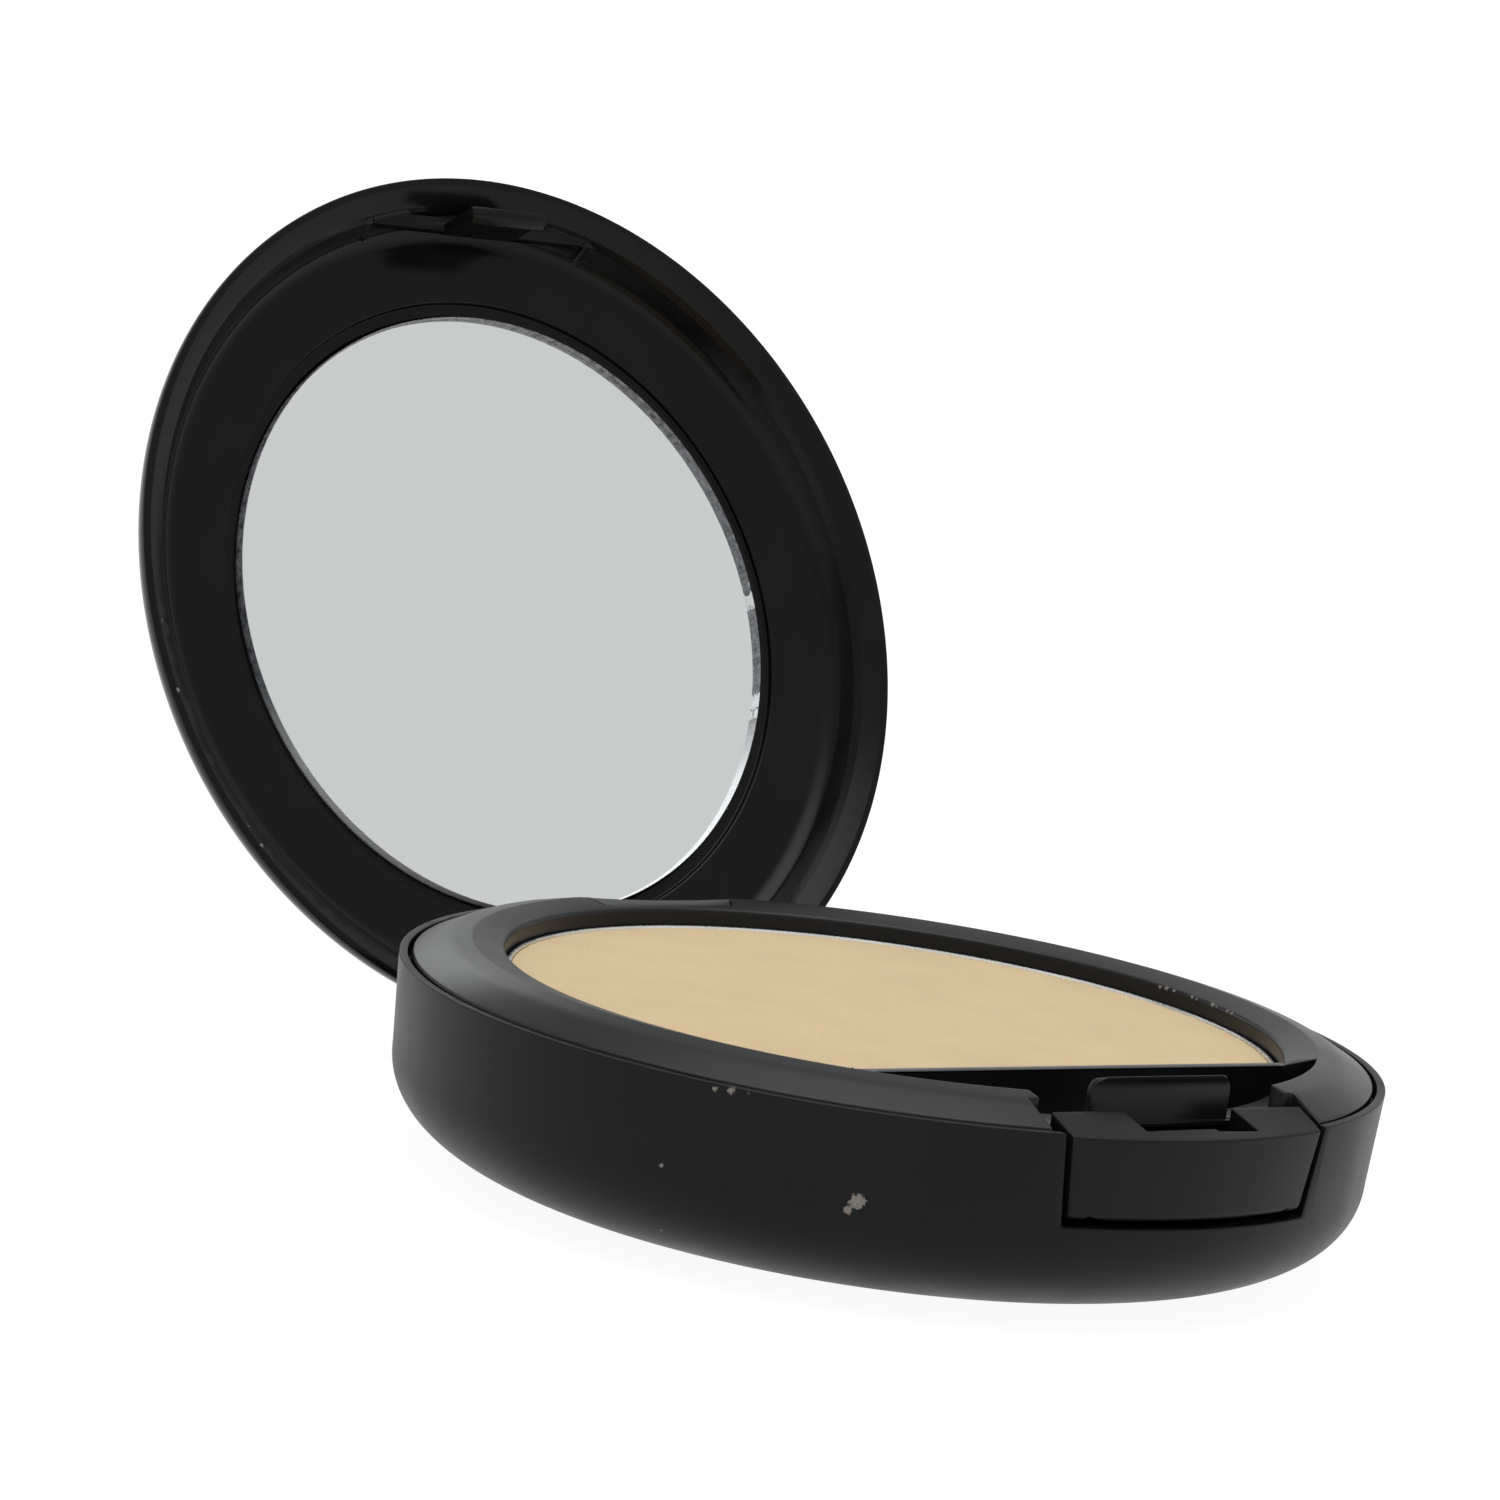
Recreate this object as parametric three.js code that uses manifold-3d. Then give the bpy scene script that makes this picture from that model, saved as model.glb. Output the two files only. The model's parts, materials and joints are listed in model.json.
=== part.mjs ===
// Powder compact with a mirror lid, stood open on its flat base.
// Millimetres. Origin at the centre of the base's flat underside, +Z up, the push button towards -Y and the
// lid hinge towards +Y. Heights named "rise" are measured up from the rim plane of the base.
import * as THREE from "three";
import { mergeVertices } from "three/addons/utils/BufferGeometryUtils.js";
import Module from "manifold-3d";

const wasm = await Module();
wasm.setup();

// Driving dimensions -----------------------------------------------------------------------------------

const RIM_RADIUS = 40;
const RIM_HEIGHT = 15.6;
const WALL = 1.9;
const FLOOR = 1.7;
const SEGMENTS = 72;
const SMALL_SEGMENTS = 24;
const MERGE_DISTANCE = 1e-4;

// A cutting solid stands PROUD of the face it opens, and runs BEYOND the object where nothing stops it.
// Parts of one body LAP where they join.
const PROUD = 1;
const BEYOND = 50;
const LAP = 0.3;


const foot = { radius: 26.7, shoulderRadius: 39.55, shoulderHeight: 8.2, power: 2.19, steps: 7 };

const rimEdge = { width: 0.25, height: 0.35 };
const ledge = { lipRadius: 39.3, drop: 1.5, radius: 38.1 };

// edge, bend, ridge and mouth are [radius, rise] steps off the corner of that name, for its rounding.
const tray = {
  radius: 38.95,
  edgeDrop: 1.1,
  bendRadius: 36.2,
  bendRise: 1.4,
  ridgeRadius: 34.35,
  ridgeRise: 1.8,
  openingRadius: 31.6,
  openingRise: 1.25,
  wellFloorDrop: 3.75,
  bottomDrop: 4.85,
  wellWall: 1.5,
  bottomChamfer: 0.8,
  edge: [[0, -0.15], [-0.3, 0.15]],
  bend: [[0.5, -0.3], [-0.5, 0.05]],
  ridge: [[0.1, 0], [-0.3, -0.05]],
  mouth: [[0.3, 0], [0, -0.2]],
  crestFront: 24.1,
  crestWidth: 1.1,
  channelRadius: 34.2,
  channelStep: 0.5,
  channelDrop: 2.6,
  sillHalfWidth: 12.2,
  sillBack: 30.2,
  reliefDrop: 1,
  bossDrop: 2,
};

const pan = { radius: 31.3, sheet: 0.3, rimDrop: 0.1, floorDrop: 3.45, chordGap: 0.2 };
const powder = { clearance: 0.08, drop: 0.24 };
const glue = { radius: 12, thickness: 0.2, gap: 0.05 };

const notch = { halfWidth: 13.25, back: 33.4, drop: 3 };
const button = {
  topHalfWidth: 12.4,
  bottomHalfWidth: 11.5,
  back: 35.1,
  bottomDrop: 6.65,
  frontRecess: 0.05,
  footInset: 0.45,
  footRise: 0.7,
  bulge: 0.2,
  shoulderDrop: 0.7,
  lean: 0.2,
  blankRise: 3,
  topFrontRise: -0.25,
  topBackRise: 0.95,
  shell: 1.5,
  plateHalfWidth: 12.8,
  plateTopDrop: 5.3,
  plateBack: 32.3,
  plateFront: 36.2,
  travel: 1.0,
};
const slot = {
  halfWidth: 5.4,
  front: 38.1,
  drop: 2.2,
  deepFront: 37.05,
  deepDrop: 4.2,
  holeLeft: 1.4,
  holeFront: 38.5,
};
const keeper = {
  halfWidth: 7,
  front: 34.4,
  back: 33.5,
  top: 1.2,
  bottom: 2.4,
  armGap: 0.4,
  sideRoom: 0.5,
  backRoom: 0.4,
};
const liftTab = {
  halfWidth: 7,
  front: 33.5,
  face: 33.15,
  back: 32.5,
  lipRise: 2.35,
  rise: 3.1,
  backRise: 2.7,
  root: 0.8,
  corner: 1.6,
  cornerSteps: 5,
};
const windowGap = { topHalfWidth: 12.95, bottomHalfWidth: 12, drop: 7.15, back: 36, spaceFront: 36.5 };
const spring = {
  radius: 1.3,
  wire: 0.32,
  sides: 3,
  turns: 4,
  stepsPerTurn: 12,
  x: 9.5,
  drop: 6.65,
  gap: 0.15,
  padHalf: 1.6,
  padDepth: 1.4,
};
const bulkhead = { back: 27.3, thickness: 1.2, halfWidth: 14.6, gap: 0.35 };
const guide = { inner: 13.4, thickness: 1.2, tallBack: 31, topDrop: 1.7 };
const rail = { x: 5, halfThickness: 0.6, gap: 0.15 };

const sponge = { radius: 26, thickness: 7.2, lift: 0.4, round: 1.5 };

const hinge = { y: 36.4, drop: 6.3, openAngle: 115.8, barrelRadius: 2.6, halfWidth: 11.7, sideGap: 0.4 };
const pin = { radius: 0.8, inner: 6, outer: 14.8, holeGap: 0.12, lidHoleGap: 0.25 };
const rearGap = { floor: 4.5, front: 33.4 };
const boss = { outer: 16.6, front: 33.2, bottom: 5.6, top: 13, sideRoom: 0.4, frontRoom: 0.1 };

// edge and cove are [radius, rise] steps off the rim's outer corner and off the floor's outer corner.
const lid = {
  radius: 39.7,
  edge: [[-0.25, 0], [0, 0.3]],
  cove: [[0.4, -1.1], [-0.3, -0.3], [-1.2, 0]],
  sideRise: 0.5,
  shoulderRadius: 30,
  shoulderRise: 6.7,
  crownRise: 7.6,
  crownShare: 0.6,
  power: 1.82,
  steps: 7,
  restGap: 0.25,
  flangeFlat: 39.05,
  flangeInner: 37.4,
  flangeRise: 1.2,
  wallFoot: 36.9,
  wallFootRise: 1.9,
  floorOuter: 35.75,
  floorRise: 4.4,
  grooveOuter: 29.2,
  grooveRise: 4.95,
  grooveInner: 28.05,
  pocketRise: 5.65,
};
const web = { inner: 34.7, outer: 39.2 };
const mirror = { radius: 27.8, faceRise: 4.25, thickness: 1.1, bevel: 0.35 };
const tape = { radius: 24, thickness: 0.2, gap: 0.05 };
const catchBar = { halfSpan: 12.7, front: 36.2, back: 34.9, bottom: 1.65, top: 2.4 };
const catchRib = { x: 12.1, thickness: 1.2, inner: 33.6, foot: 38.2, footRise: 0.95 };
const catchTab = { halfWidth: 3.9, front: 35.6, back: 34.75, drop: 3.2, tooth: 0.7, toothHeight: 0.6 };

// Solids -----------------------------------------------------------------------------------------------

// A closed three.js geometry as a manifold solid: position only, shared vertices merged, no empty triangle.
function solid(geometry) {
  const bare = geometry.index ? geometry.toNonIndexed() : geometry.clone();
  bare.deleteAttribute("normal");
  bare.deleteAttribute("uv");
  const merged = mergeVertices(bare, MERGE_DISTANCE);
  const corners = merged.index.array;
  const triangles = [];
  for (let i = 0; i < corners.length; i += 3) {
    const [a, b, c] = [corners[i], corners[i + 1], corners[i + 2]];
    if (a !== b && b !== c && c !== a) triangles.push(a, b, c);
  }
  return new wasm.Manifold(
    new wasm.Mesh({
      numProp: 3,
      vertProperties: merged.attributes.position.array,
      triVerts: new Uint32Array(triangles),
    }),
  );
}

function geometryOf(body) {
  const mesh = body.getMesh();
  const geometry = new THREE.BufferGeometry();
  geometry.setAttribute("position", new THREE.BufferAttribute(new Float32Array(mesh.vertProperties), 3));
  geometry.setIndex(new THREE.BufferAttribute(new Uint32Array(mesh.triVerts), 1));
  geometry.computeVertexNormals();
  return geometry;
}

// A solid of revolution about Z from [radius, height] points listed anticlockwise.
function turned(points, segments = SEGMENTS) {
  const profile = points.map(([radius, height]) => new THREE.Vector2(radius, height));
  return solid(new THREE.LatheGeometry(profile, segments).rotateX(Math.PI / 2));
}

function box([x0, y0, z0], [x1, y1, z1]) {
  const geometry = new THREE.BoxGeometry(x1 - x0, y1 - y0, z1 - z0);
  return solid(geometry.translate((x0 + x1) / 2, (y0 + y1) / 2, (z0 + z1) / 2));
}

function disc(radius, z0, z1, segments = SEGMENTS) {
  return turned([[0, z0], [radius, z0], [radius, z1], [0, z1]], segments);
}

// A rod along X through height z and depth y.
function rod(radius, x0, x1, y, z, segments = SMALL_SEGMENTS) {
  const geometry = new THREE.CylinderGeometry(radius, radius, x1 - x0, segments);
  return solid(geometry.rotateZ(Math.PI / 2).translate((x0 + x1) / 2, y, z));
}

// An [x, z] outline pushed along Y from y0 to y1.
function pushed(outline, y0, y1) {
  const shape = new THREE.Shape(outline.map(([x, z]) => new THREE.Vector2(x, z)));
  const geometry = new THREE.ExtrudeGeometry(shape, { depth: y1 - y0, bevelEnabled: false });
  return solid(geometry.rotateX(Math.PI / 2).translate(0, y1, 0));
}

// A [y, z] outline pushed along X from x0 to x1.
function slid(outline, x0, x1) {
  const shape = new THREE.Shape(outline.map(([y, z]) => new THREE.Vector2(y, z)));
  const geometry = new THREE.ExtrudeGeometry(shape, { depth: x1 - x0, bevelEnabled: false });
  return solid(geometry.rotateZ(Math.PI / 2).rotateY(Math.PI / 2).translate(x0, 0, 0));
}

// Points of a superellipse quarter from the tall side (outer radius) to the flat side (inner radius).
function shoulderCurve({ outer, inner, start, end, power, steps }) {
  const points = [];
  for (let i = 1; i <= steps; i += 1) {
    const angle = (Math.PI / 2) * (i / steps);
    const radius = inner + (outer - inner) * Math.max(Math.cos(angle), 0) ** (2 / power);
    const height = start + (end - start) * Math.sin(angle) ** (2 / power);
    points.push([radius, height]);
  }
  return points;
}

const rise = (value) => RIM_HEIGHT + value;

// Profile points at [radius, rise] steps off a corner.
const rounded = (radius, height, steps) => steps.map(([out, up]) => [radius + out, rise(height + up)]);

// Base -------------------------------------------------------------------------------------------------

function baseOuterProfile(inset) {
  const curve = shoulderCurve({
    outer: foot.shoulderRadius - inset,
    inner: foot.radius - inset,
    start: foot.shoulderHeight,
    end: inset,
    power: foot.power,
    steps: foot.steps,
  });
  return [[0, inset], ...curve.reverse(), [foot.shoulderRadius - inset, foot.shoulderHeight]];
}

function makeBase() {
  const outer = turned([
    ...baseOuterProfile(0),
    [RIM_RADIUS, rise(-rimEdge.height)],
    [RIM_RADIUS - rimEdge.width, RIM_HEIGHT],
    [0, RIM_HEIGHT],
  ]);
  const inner = turned([
    ...baseOuterProfile(WALL).map(([radius, height]) => [radius, Math.max(height, FLOOR)]),
    [ledge.radius, rise(-ledge.drop)],
    [ledge.lipRadius, rise(-ledge.drop)],
    [ledge.lipRadius, rise(PROUD)],
    [0, rise(PROUD)],
  ]);
  const envelope = turned([
    ...baseOuterProfile(WALL / 2),
    [ledge.radius + LAP, rise(-guide.topDrop)],
    [0, rise(-guide.topDrop)],
  ]);

  const fittings = [];
  const foundation = FLOOR / 2;
  const bulkheadTop = rise(-tray.bottomDrop - bulkhead.gap);
  for (const side of [-1, 1]) {
    const near = side * guide.inner;
    const far = side * (guide.inner + guide.thickness);
    const [x0, x1] = [Math.min(near, far), Math.max(near, far)];
    fittings.push(box([x0, -RIM_RADIUS, foundation], [x1, -guide.tallBack, rise(-guide.topDrop)]));
    fittings.push(box([x0, -RIM_RADIUS, foundation], [x1, -bulkhead.back, bulkheadTop]));
    const cheek = side * (hinge.halfWidth + hinge.sideGap);
    const edge = side * boss.outer;
    const [b0, b1] = [Math.min(cheek, edge), Math.max(cheek, edge)];
    fittings.push(box([b0, boss.front, boss.bottom], [b1, RIM_RADIUS, boss.top]));
  }
  for (const x of [-rail.x, rail.x]) {
    const top = rise(-button.bottomDrop - rail.gap);
    const [x0, x1] = [x - rail.halfThickness, x + rail.halfThickness];
    fittings.push(box([x0, -RIM_RADIUS + WALL, foundation], [x1, -bulkhead.back, top]));
  }
  fittings.push(
    box(
      [-bulkhead.halfWidth, -bulkhead.back - bulkhead.thickness, foundation],
      [bulkhead.halfWidth, -bulkhead.back, bulkheadTop],
    ),
  );

  const shell = outer.subtract(inner).add(wasm.Manifold.union(fittings).intersect(envelope));

  const buttonWindow = pushed(
    [
      [-windowGap.bottomHalfWidth, rise(-windowGap.drop)],
      [windowGap.bottomHalfWidth, rise(-windowGap.drop)],
      [windowGap.topHalfWidth, rise(0)],
      [windowGap.topHalfWidth, rise(PROUD)],
      [-windowGap.topHalfWidth, rise(PROUD)],
      [-windowGap.topHalfWidth, rise(0)],
    ],
    -RIM_RADIUS - PROUD,
    -windowGap.back,
  );
  const buttonSpace = box(
    [-guide.inner, -windowGap.spaceFront, rise(-button.bottomDrop - rail.gap)],
    [guide.inner, -guide.tallBack, rise(PROUD)],
  );
  const reach = hinge.halfWidth + hinge.sideGap;
  const hingeSpace = box(
    [-reach, rearGap.front - PROUD, rearGap.floor],
    [reach, RIM_RADIUS + PROUD, rise(PROUD)],
  );
  const pinHole = rod(pin.radius + pin.holeGap, -BEYOND, BEYOND, hinge.y, rise(-hinge.drop));
  return shell.subtract(buttonWindow).subtract(buttonSpace).subtract(hingeSpace).subtract(pinHole);
}

function makeSponge() {
  const bottom = FLOOR + sponge.lift;
  const top = bottom + sponge.thickness;
  const { round } = sponge;
  return turned([
    [0, bottom],
    [sponge.radius - round, bottom],
    [sponge.radius, bottom + round],
    [sponge.radius, top - round],
    [sponge.radius - round, top],
    [0, top],
  ]);
}

// Powder tray and what it holds --------------------------------------------------------------------------

// The part of a disc behind the straight front of the well.
function behindChord(body, y) {
  return body.intersect(box([-BEYOND, y, -BEYOND], [BEYOND, BEYOND, BEYOND]));
}

function makeTray() {
  const wellOutside = tray.openingRadius + tray.wellWall;
  const ring = turned([
    [0, rise(-tray.bottomDrop)],
    [wellOutside - tray.bottomChamfer, rise(-tray.bottomDrop)],
    [wellOutside, rise(-tray.bottomDrop + tray.bottomChamfer)],
    [wellOutside, rise(-tray.edgeDrop)],
    [tray.radius, rise(-tray.edgeDrop)],
    ...rounded(tray.radius, 0, tray.edge),
    ...rounded(tray.bendRadius, tray.bendRise, tray.bend),
    ...rounded(tray.ridgeRadius, tray.ridgeRise, tray.ridge),
    ...rounded(tray.openingRadius, tray.openingRise, tray.mouth),
    [tray.openingRadius, rise(-tray.wellFloorDrop)],
    [0, rise(-tray.wellFloorDrop)],
  ]);
  const plugBottom = rise(-tray.wellFloorDrop - LAP);
  const crestBar = box([-BEYOND, -tray.crestFront, 0], [BEYOND, -tray.crestFront + tray.crestWidth, BEYOND]);
  const crest = disc(tray.channelRadius + LAP, rise(-tray.edgeDrop), rise(tray.openingRise))
    .add(disc(tray.openingRadius + LAP, plugBottom, rise(tray.openingRise)))
    .intersect(crestBar);
  const channelFloor = disc(tray.openingRadius + LAP, plugBottom, rise(-tray.channelDrop));
  const channelLedge = disc(tray.channelRadius, rise(-tray.channelStep), BEYOND);
  const beforeCrest = box([-BEYOND, -BEYOND, 0], [BEYOND, -tray.crestFront, BEYOND]);
  const body = ring
    .subtract(channelLedge.intersect(beforeCrest))
    .add(crest)
    .add(channelFloor.intersect(beforeCrest));

  const buttonNotch = box(
    [-notch.halfWidth, -BEYOND, rise(-notch.drop)],
    [notch.halfWidth, -notch.back, BEYOND],
  );
  const sill = box(
    [-tray.sillHalfWidth, -BEYOND, rise(-tray.channelStep)],
    [tray.sillHalfWidth, -tray.sillBack, BEYOND],
  );
  const keeperReach = keeper.halfWidth + keeper.sideRoom;
  const keeperRelief = box(
    [-keeperReach, -BEYOND, 0],
    [keeperReach, -keeper.back + button.travel + keeper.backRoom, rise(-tray.reliefDrop)],
  );
  const reach = hinge.halfWidth + hinge.sideGap;
  const hingeNotch = box([-reach, rearGap.front, 0], [reach, BEYOND, BEYOND]);
  const bossReach = boss.outer + boss.sideRoom;
  const pinRelief = box(
    [-bossReach, boss.front - boss.frontRoom, 0],
    [bossReach, BEYOND, rise(-tray.bossDrop)],
  );

  const tabOutline = new THREE.Shape();
  const { halfWidth, corner } = liftTab;
  const cornerHeight = rise(liftTab.rise - corner);
  tabOutline.moveTo(-halfWidth, rise(-liftTab.root));
  tabOutline.lineTo(halfWidth, rise(-liftTab.root));
  tabOutline.absarc(halfWidth - corner, cornerHeight, corner, 0, Math.PI / 2);
  tabOutline.absarc(-halfWidth + corner, cornerHeight, corner, Math.PI / 2, Math.PI);
  const tabPoints = tabOutline.getPoints(liftTab.cornerSteps).map((point) => [point.x, point.y]);
  const tabSide = [
    [-liftTab.face, rise(-liftTab.root)],
    [-liftTab.back, rise(-liftTab.root)],
    [-liftTab.back, rise(liftTab.backRise)],
    [-liftTab.front, rise(liftTab.rise)],
    [-liftTab.face, rise(liftTab.lipRise)],
  ];
  const lift = slid(tabSide, -halfWidth, halfWidth).intersect(
    pushed(tabPoints, -liftTab.front - PROUD, -liftTab.back + PROUD),
  );
  const cuts = [buttonNotch, sill, keeperRelief, hingeNotch, pinRelief];
  return cuts.reduce((a, b) => a.subtract(b), body).add(lift);
}

const panFront = -tray.crestFront + tray.crestWidth + pan.chordGap;

function makePan() {
  const outside = disc(pan.radius, rise(-pan.floorDrop), rise(-pan.rimDrop));
  const inside = disc(pan.radius - pan.sheet, rise(-pan.floorDrop + pan.sheet), rise(PROUD));
  return behindChord(outside, panFront).subtract(behindChord(inside, panFront + pan.sheet));
}

function makePowder() {
  const bottom = rise(-pan.floorDrop + pan.sheet + powder.clearance);
  const cake = disc(pan.radius - pan.sheet - powder.clearance, bottom, rise(-powder.drop));
  return behindChord(cake, panFront + pan.sheet + powder.clearance);
}

function makePanAdhesive() {
  const bottom = rise(-tray.wellFloorDrop + glue.gap);
  return disc(glue.radius, bottom, bottom + glue.thickness, SMALL_SEGMENTS);
}

// Push button and its springs ----------------------------------------------------------------------------

// Everything under the button's top, a straight ridge at the back that falls to the rim's arc in front.
function underButtonTop() {
  const front = rise(button.topFrontRise);
  const back = rise(button.topBackRise);
  const backCorner = Math.hypot(button.back, button.topHalfWidth);
  const steepness = (back - front) / (RIM_RADIUS - backCorner);
  const centreHeight = front + steepness * RIM_RADIUS;
  const cone = turned([
    [0, 0],
    [RIM_RADIUS + PROUD, 0],
    [RIM_RADIUS + PROUD, front - steepness * PROUD],
    [0, centreHeight],
  ]);
  const ramp = slid(
    [
      [-RIM_RADIUS - PROUD, 0],
      [0, 0],
      [0, back],
      [-button.back, back],
      [-RIM_RADIUS, front],
      [-RIM_RADIUS - PROUD, front],
    ],
    -BEYOND,
    BEYOND,
  );
  return cone.intersect(ramp);
}

function makeButton() {
  const face = foot.shoulderRadius - button.frontRecess;
  const skin = turned([
    [0, rise(-button.bottomDrop)],
    [face - button.footInset, rise(-button.bottomDrop)],
    [face + button.bulge, rise(-button.bottomDrop + button.footRise)],
    [RIM_RADIUS - button.frontRecess, rise(-button.shoulderDrop)],
    [RIM_RADIUS - button.frontRecess - button.lean, rise(button.blankRise)],
    [0, rise(button.blankRise)],
  ]);
  const front = pushed(
    [
      [-button.bottomHalfWidth, rise(-button.bottomDrop)],
      [button.bottomHalfWidth, rise(-button.bottomDrop)],
      [button.topHalfWidth, rise(0)],
      [button.topHalfWidth, rise(button.blankRise)],
      [-button.topHalfWidth, rise(button.blankRise)],
      [-button.topHalfWidth, rise(0)],
    ],
    -RIM_RADIUS - PROUD,
    -button.back,
  );
  const block = skin.intersect(front).intersect(underButtonTop());
  const slotEnd = [slot.halfWidth, -button.back + PROUD, BEYOND];
  const pocket = box([-slot.halfWidth, -slot.front, rise(-slot.drop)], slotEnd);
  const deepPocket = box([-slot.halfWidth, -slot.deepFront, rise(-slot.deepDrop)], slotEnd);
  const hole = box([slot.holeLeft, -slot.holeFront, rise(-slot.deepDrop)], slotEnd);
  const hollow = box(
    [-button.bottomHalfWidth + button.shell, -slot.front, rise(-button.bottomDrop - PROUD)],
    [button.bottomHalfWidth - button.shell, -button.plateFront, rise(-button.plateTopDrop)],
  );
  const cut = [pocket, deepPocket, hole, hollow].reduce((a, b) => a.subtract(b), block);

  const plate = box(
    [-button.plateHalfWidth, -button.plateFront, rise(-button.bottomDrop)],
    [button.plateHalfWidth, -button.plateBack, rise(-button.plateTopDrop)],
  );
  const pads = [-spring.x, spring.x].map((x) =>
    box(
      [x - spring.padHalf, -button.plateBack - spring.padDepth, rise(-spring.drop - spring.padHalf)],
      [x + spring.padHalf, -button.plateBack, rise(-button.plateTopDrop)],
    ),
  );
  const keeperBar = box(
    [-keeper.halfWidth, -keeper.front, rise(-keeper.bottom)],
    [keeper.halfWidth, -keeper.back, rise(-keeper.top)],
  );
  const keeperArms = [-1, 1].map((side) => {
    const ends = [side * (slot.halfWidth + keeper.armGap), side * keeper.halfWidth];
    return box(
      [Math.min(...ends), -button.back - PROUD, rise(-keeper.bottom)],
      [Math.max(...ends), -keeper.back, rise(-keeper.top)],
    );
  });
  return [plate, ...pads, keeperBar, ...keeperArms].reduce((a, b) => a.add(b), cut);
}

// A coil spring's wire along +Y, from the button's plate back to the bulkhead.
class SpringPath extends THREE.Curve {
  constructor(x, length) {
    super();
    this.x = x;
    this.length = length;
  }

  getPoint(t, target = new THREE.Vector3()) {
    const angle = 2 * Math.PI * spring.turns * t;
    return target.set(
      this.x + spring.radius * Math.cos(angle),
      this.length * t,
      spring.radius * Math.sin(angle),
    );
  }
}

const springFront = -button.plateBack + spring.gap;
const springBack = -bulkhead.back - bulkhead.thickness - spring.gap;

function makeSpring(x) {
  const section = new THREE.Shape();
  section.absarc(0, 0, spring.wire / 2, 0, 2 * Math.PI);
  const length = springBack - springFront - spring.wire;
  const coil = new THREE.ExtrudeGeometry(section, {
    extrudePath: new SpringPath(x, length),
    steps: spring.turns * spring.stepsPerTurn,
    curveSegments: spring.sides,
    bevelEnabled: false,
  });
  return solid(coil.translate(0, springFront + spring.wire / 2, rise(-spring.drop)));
}

// Lid, drawn closed on the base --------------------------------------------------------------------------

function makeLid() {
  const shoulder = shoulderCurve({
    outer: lid.radius,
    inner: lid.shoulderRadius,
    start: rise(lid.sideRise),
    end: rise(lid.shoulderRise),
    power: lid.power,
    steps: lid.steps,
  });
  const crownFall = lid.crownShare ** 2 * (lid.crownRise - lid.shoulderRise);
  const outer = turned([
    [0, rise(lid.restGap)],
    ...rounded(lid.radius, lid.restGap, lid.edge),
    [lid.radius, rise(lid.sideRise)],
    ...shoulder,
    [lid.shoulderRadius * lid.crownShare, rise(lid.crownRise - crownFall)],
    [0, rise(lid.crownRise)],
  ]);
  const inner = turned([
    [0, rise(-PROUD)],
    [lid.flangeFlat, rise(-PROUD)],
    [lid.flangeFlat, rise(lid.restGap)],
    [lid.flangeInner, rise(lid.flangeRise)],
    [lid.wallFoot, rise(lid.wallFootRise)],
    ...rounded(lid.floorOuter, lid.floorRise, lid.cove),
    [lid.grooveOuter, rise(lid.floorRise)],
    [lid.grooveOuter, rise(lid.grooveRise)],
    [lid.grooveInner, rise(lid.grooveRise)],
    [lid.grooveInner, rise(lid.pocketRise)],
    [0, rise(lid.pocketRise)],
  ]);
  const shell = outer.subtract(inner);

  const reach = hinge.halfWidth;
  const hingeHeight = rise(-hinge.drop);
  const webBlock = box([-reach, web.inner, hingeHeight], [reach, web.outer, rise(lid.sideRise)]);
  const webOutside = disc(web.outer, 0, rise(lid.sideRise));
  const barrel = rod(hinge.barrelRadius, -reach, reach, hinge.y, hingeHeight);
  const knuckle = webBlock.intersect(webOutside).add(barrel);

  const ribs = [-1, 1].map((side) =>
    slid(
      [
        [-catchRib.foot, rise(catchRib.footRise)],
        [-catchBar.back, rise(catchBar.bottom)],
        [-catchRib.inner, rise(lid.floorRise + LAP)],
        [-catchRib.foot, rise(lid.floorRise + LAP)],
      ],
      side * catchRib.x - catchRib.thickness / 2,
      side * catchRib.x + catchRib.thickness / 2,
    ).intersect(outer),
  );
  const bar = box(
    [-catchBar.halfSpan, -catchBar.front, rise(catchBar.bottom)],
    [catchBar.halfSpan, -catchBar.back, rise(catchBar.top)],
  ).intersect(outer);
  const tab = slid(
    [
      [-catchTab.front, rise(-catchTab.drop)],
      [-catchTab.back, rise(-catchTab.drop)],
      [-catchTab.back + catchTab.tooth, rise(-catchTab.drop + catchTab.toothHeight)],
      [-catchTab.back, rise(-catchTab.drop + catchTab.toothHeight)],
      [-catchTab.back, rise(catchBar.top)],
      [-catchTab.front, rise(catchBar.top)],
    ],
    -catchTab.halfWidth,
    catchTab.halfWidth,
  );
  const pinHole = rod(pin.radius + pin.lidHoleGap, -BEYOND, BEYOND, hinge.y, hingeHeight);
  return [...ribs, bar, tab, knuckle].reduce((a, b) => a.add(b), shell).subtract(pinHole);
}

function makeMirror() {
  const front = rise(mirror.faceRise);
  const back = front + mirror.thickness;
  return turned([
    [0, front],
    [mirror.radius - mirror.bevel, front],
    [mirror.radius, front + mirror.bevel / 2],
    [mirror.radius, back],
    [0, back],
  ]);
}

function makeMirrorAdhesive() {
  const front = rise(mirror.faceRise + mirror.thickness + tape.gap);
  return disc(tape.radius, front, front + tape.thickness);
}

// Assembly -----------------------------------------------------------------------------------------------

const finishes = {
  blackPlastic: { color: 0x1d1f21, roughness: 0.42, metalness: 0 },
  powder: { color: 0xd8c39e, roughness: 0.95, metalness: 0 },
  panMetal: { color: 0xc9cbcc, roughness: 0.3, metalness: 1 },
  steel: { color: 0xb5b8ba, roughness: 0.25, metalness: 1 },
  mirror: { color: 0xe4e8e8, roughness: 0.02, metalness: 1 },
  foam: { color: 0xf0e6d8, roughness: 0.98, metalness: 0 },
  adhesive: { color: 0xe9e6dc, roughness: 0.6, metalness: 0 },
};

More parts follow.
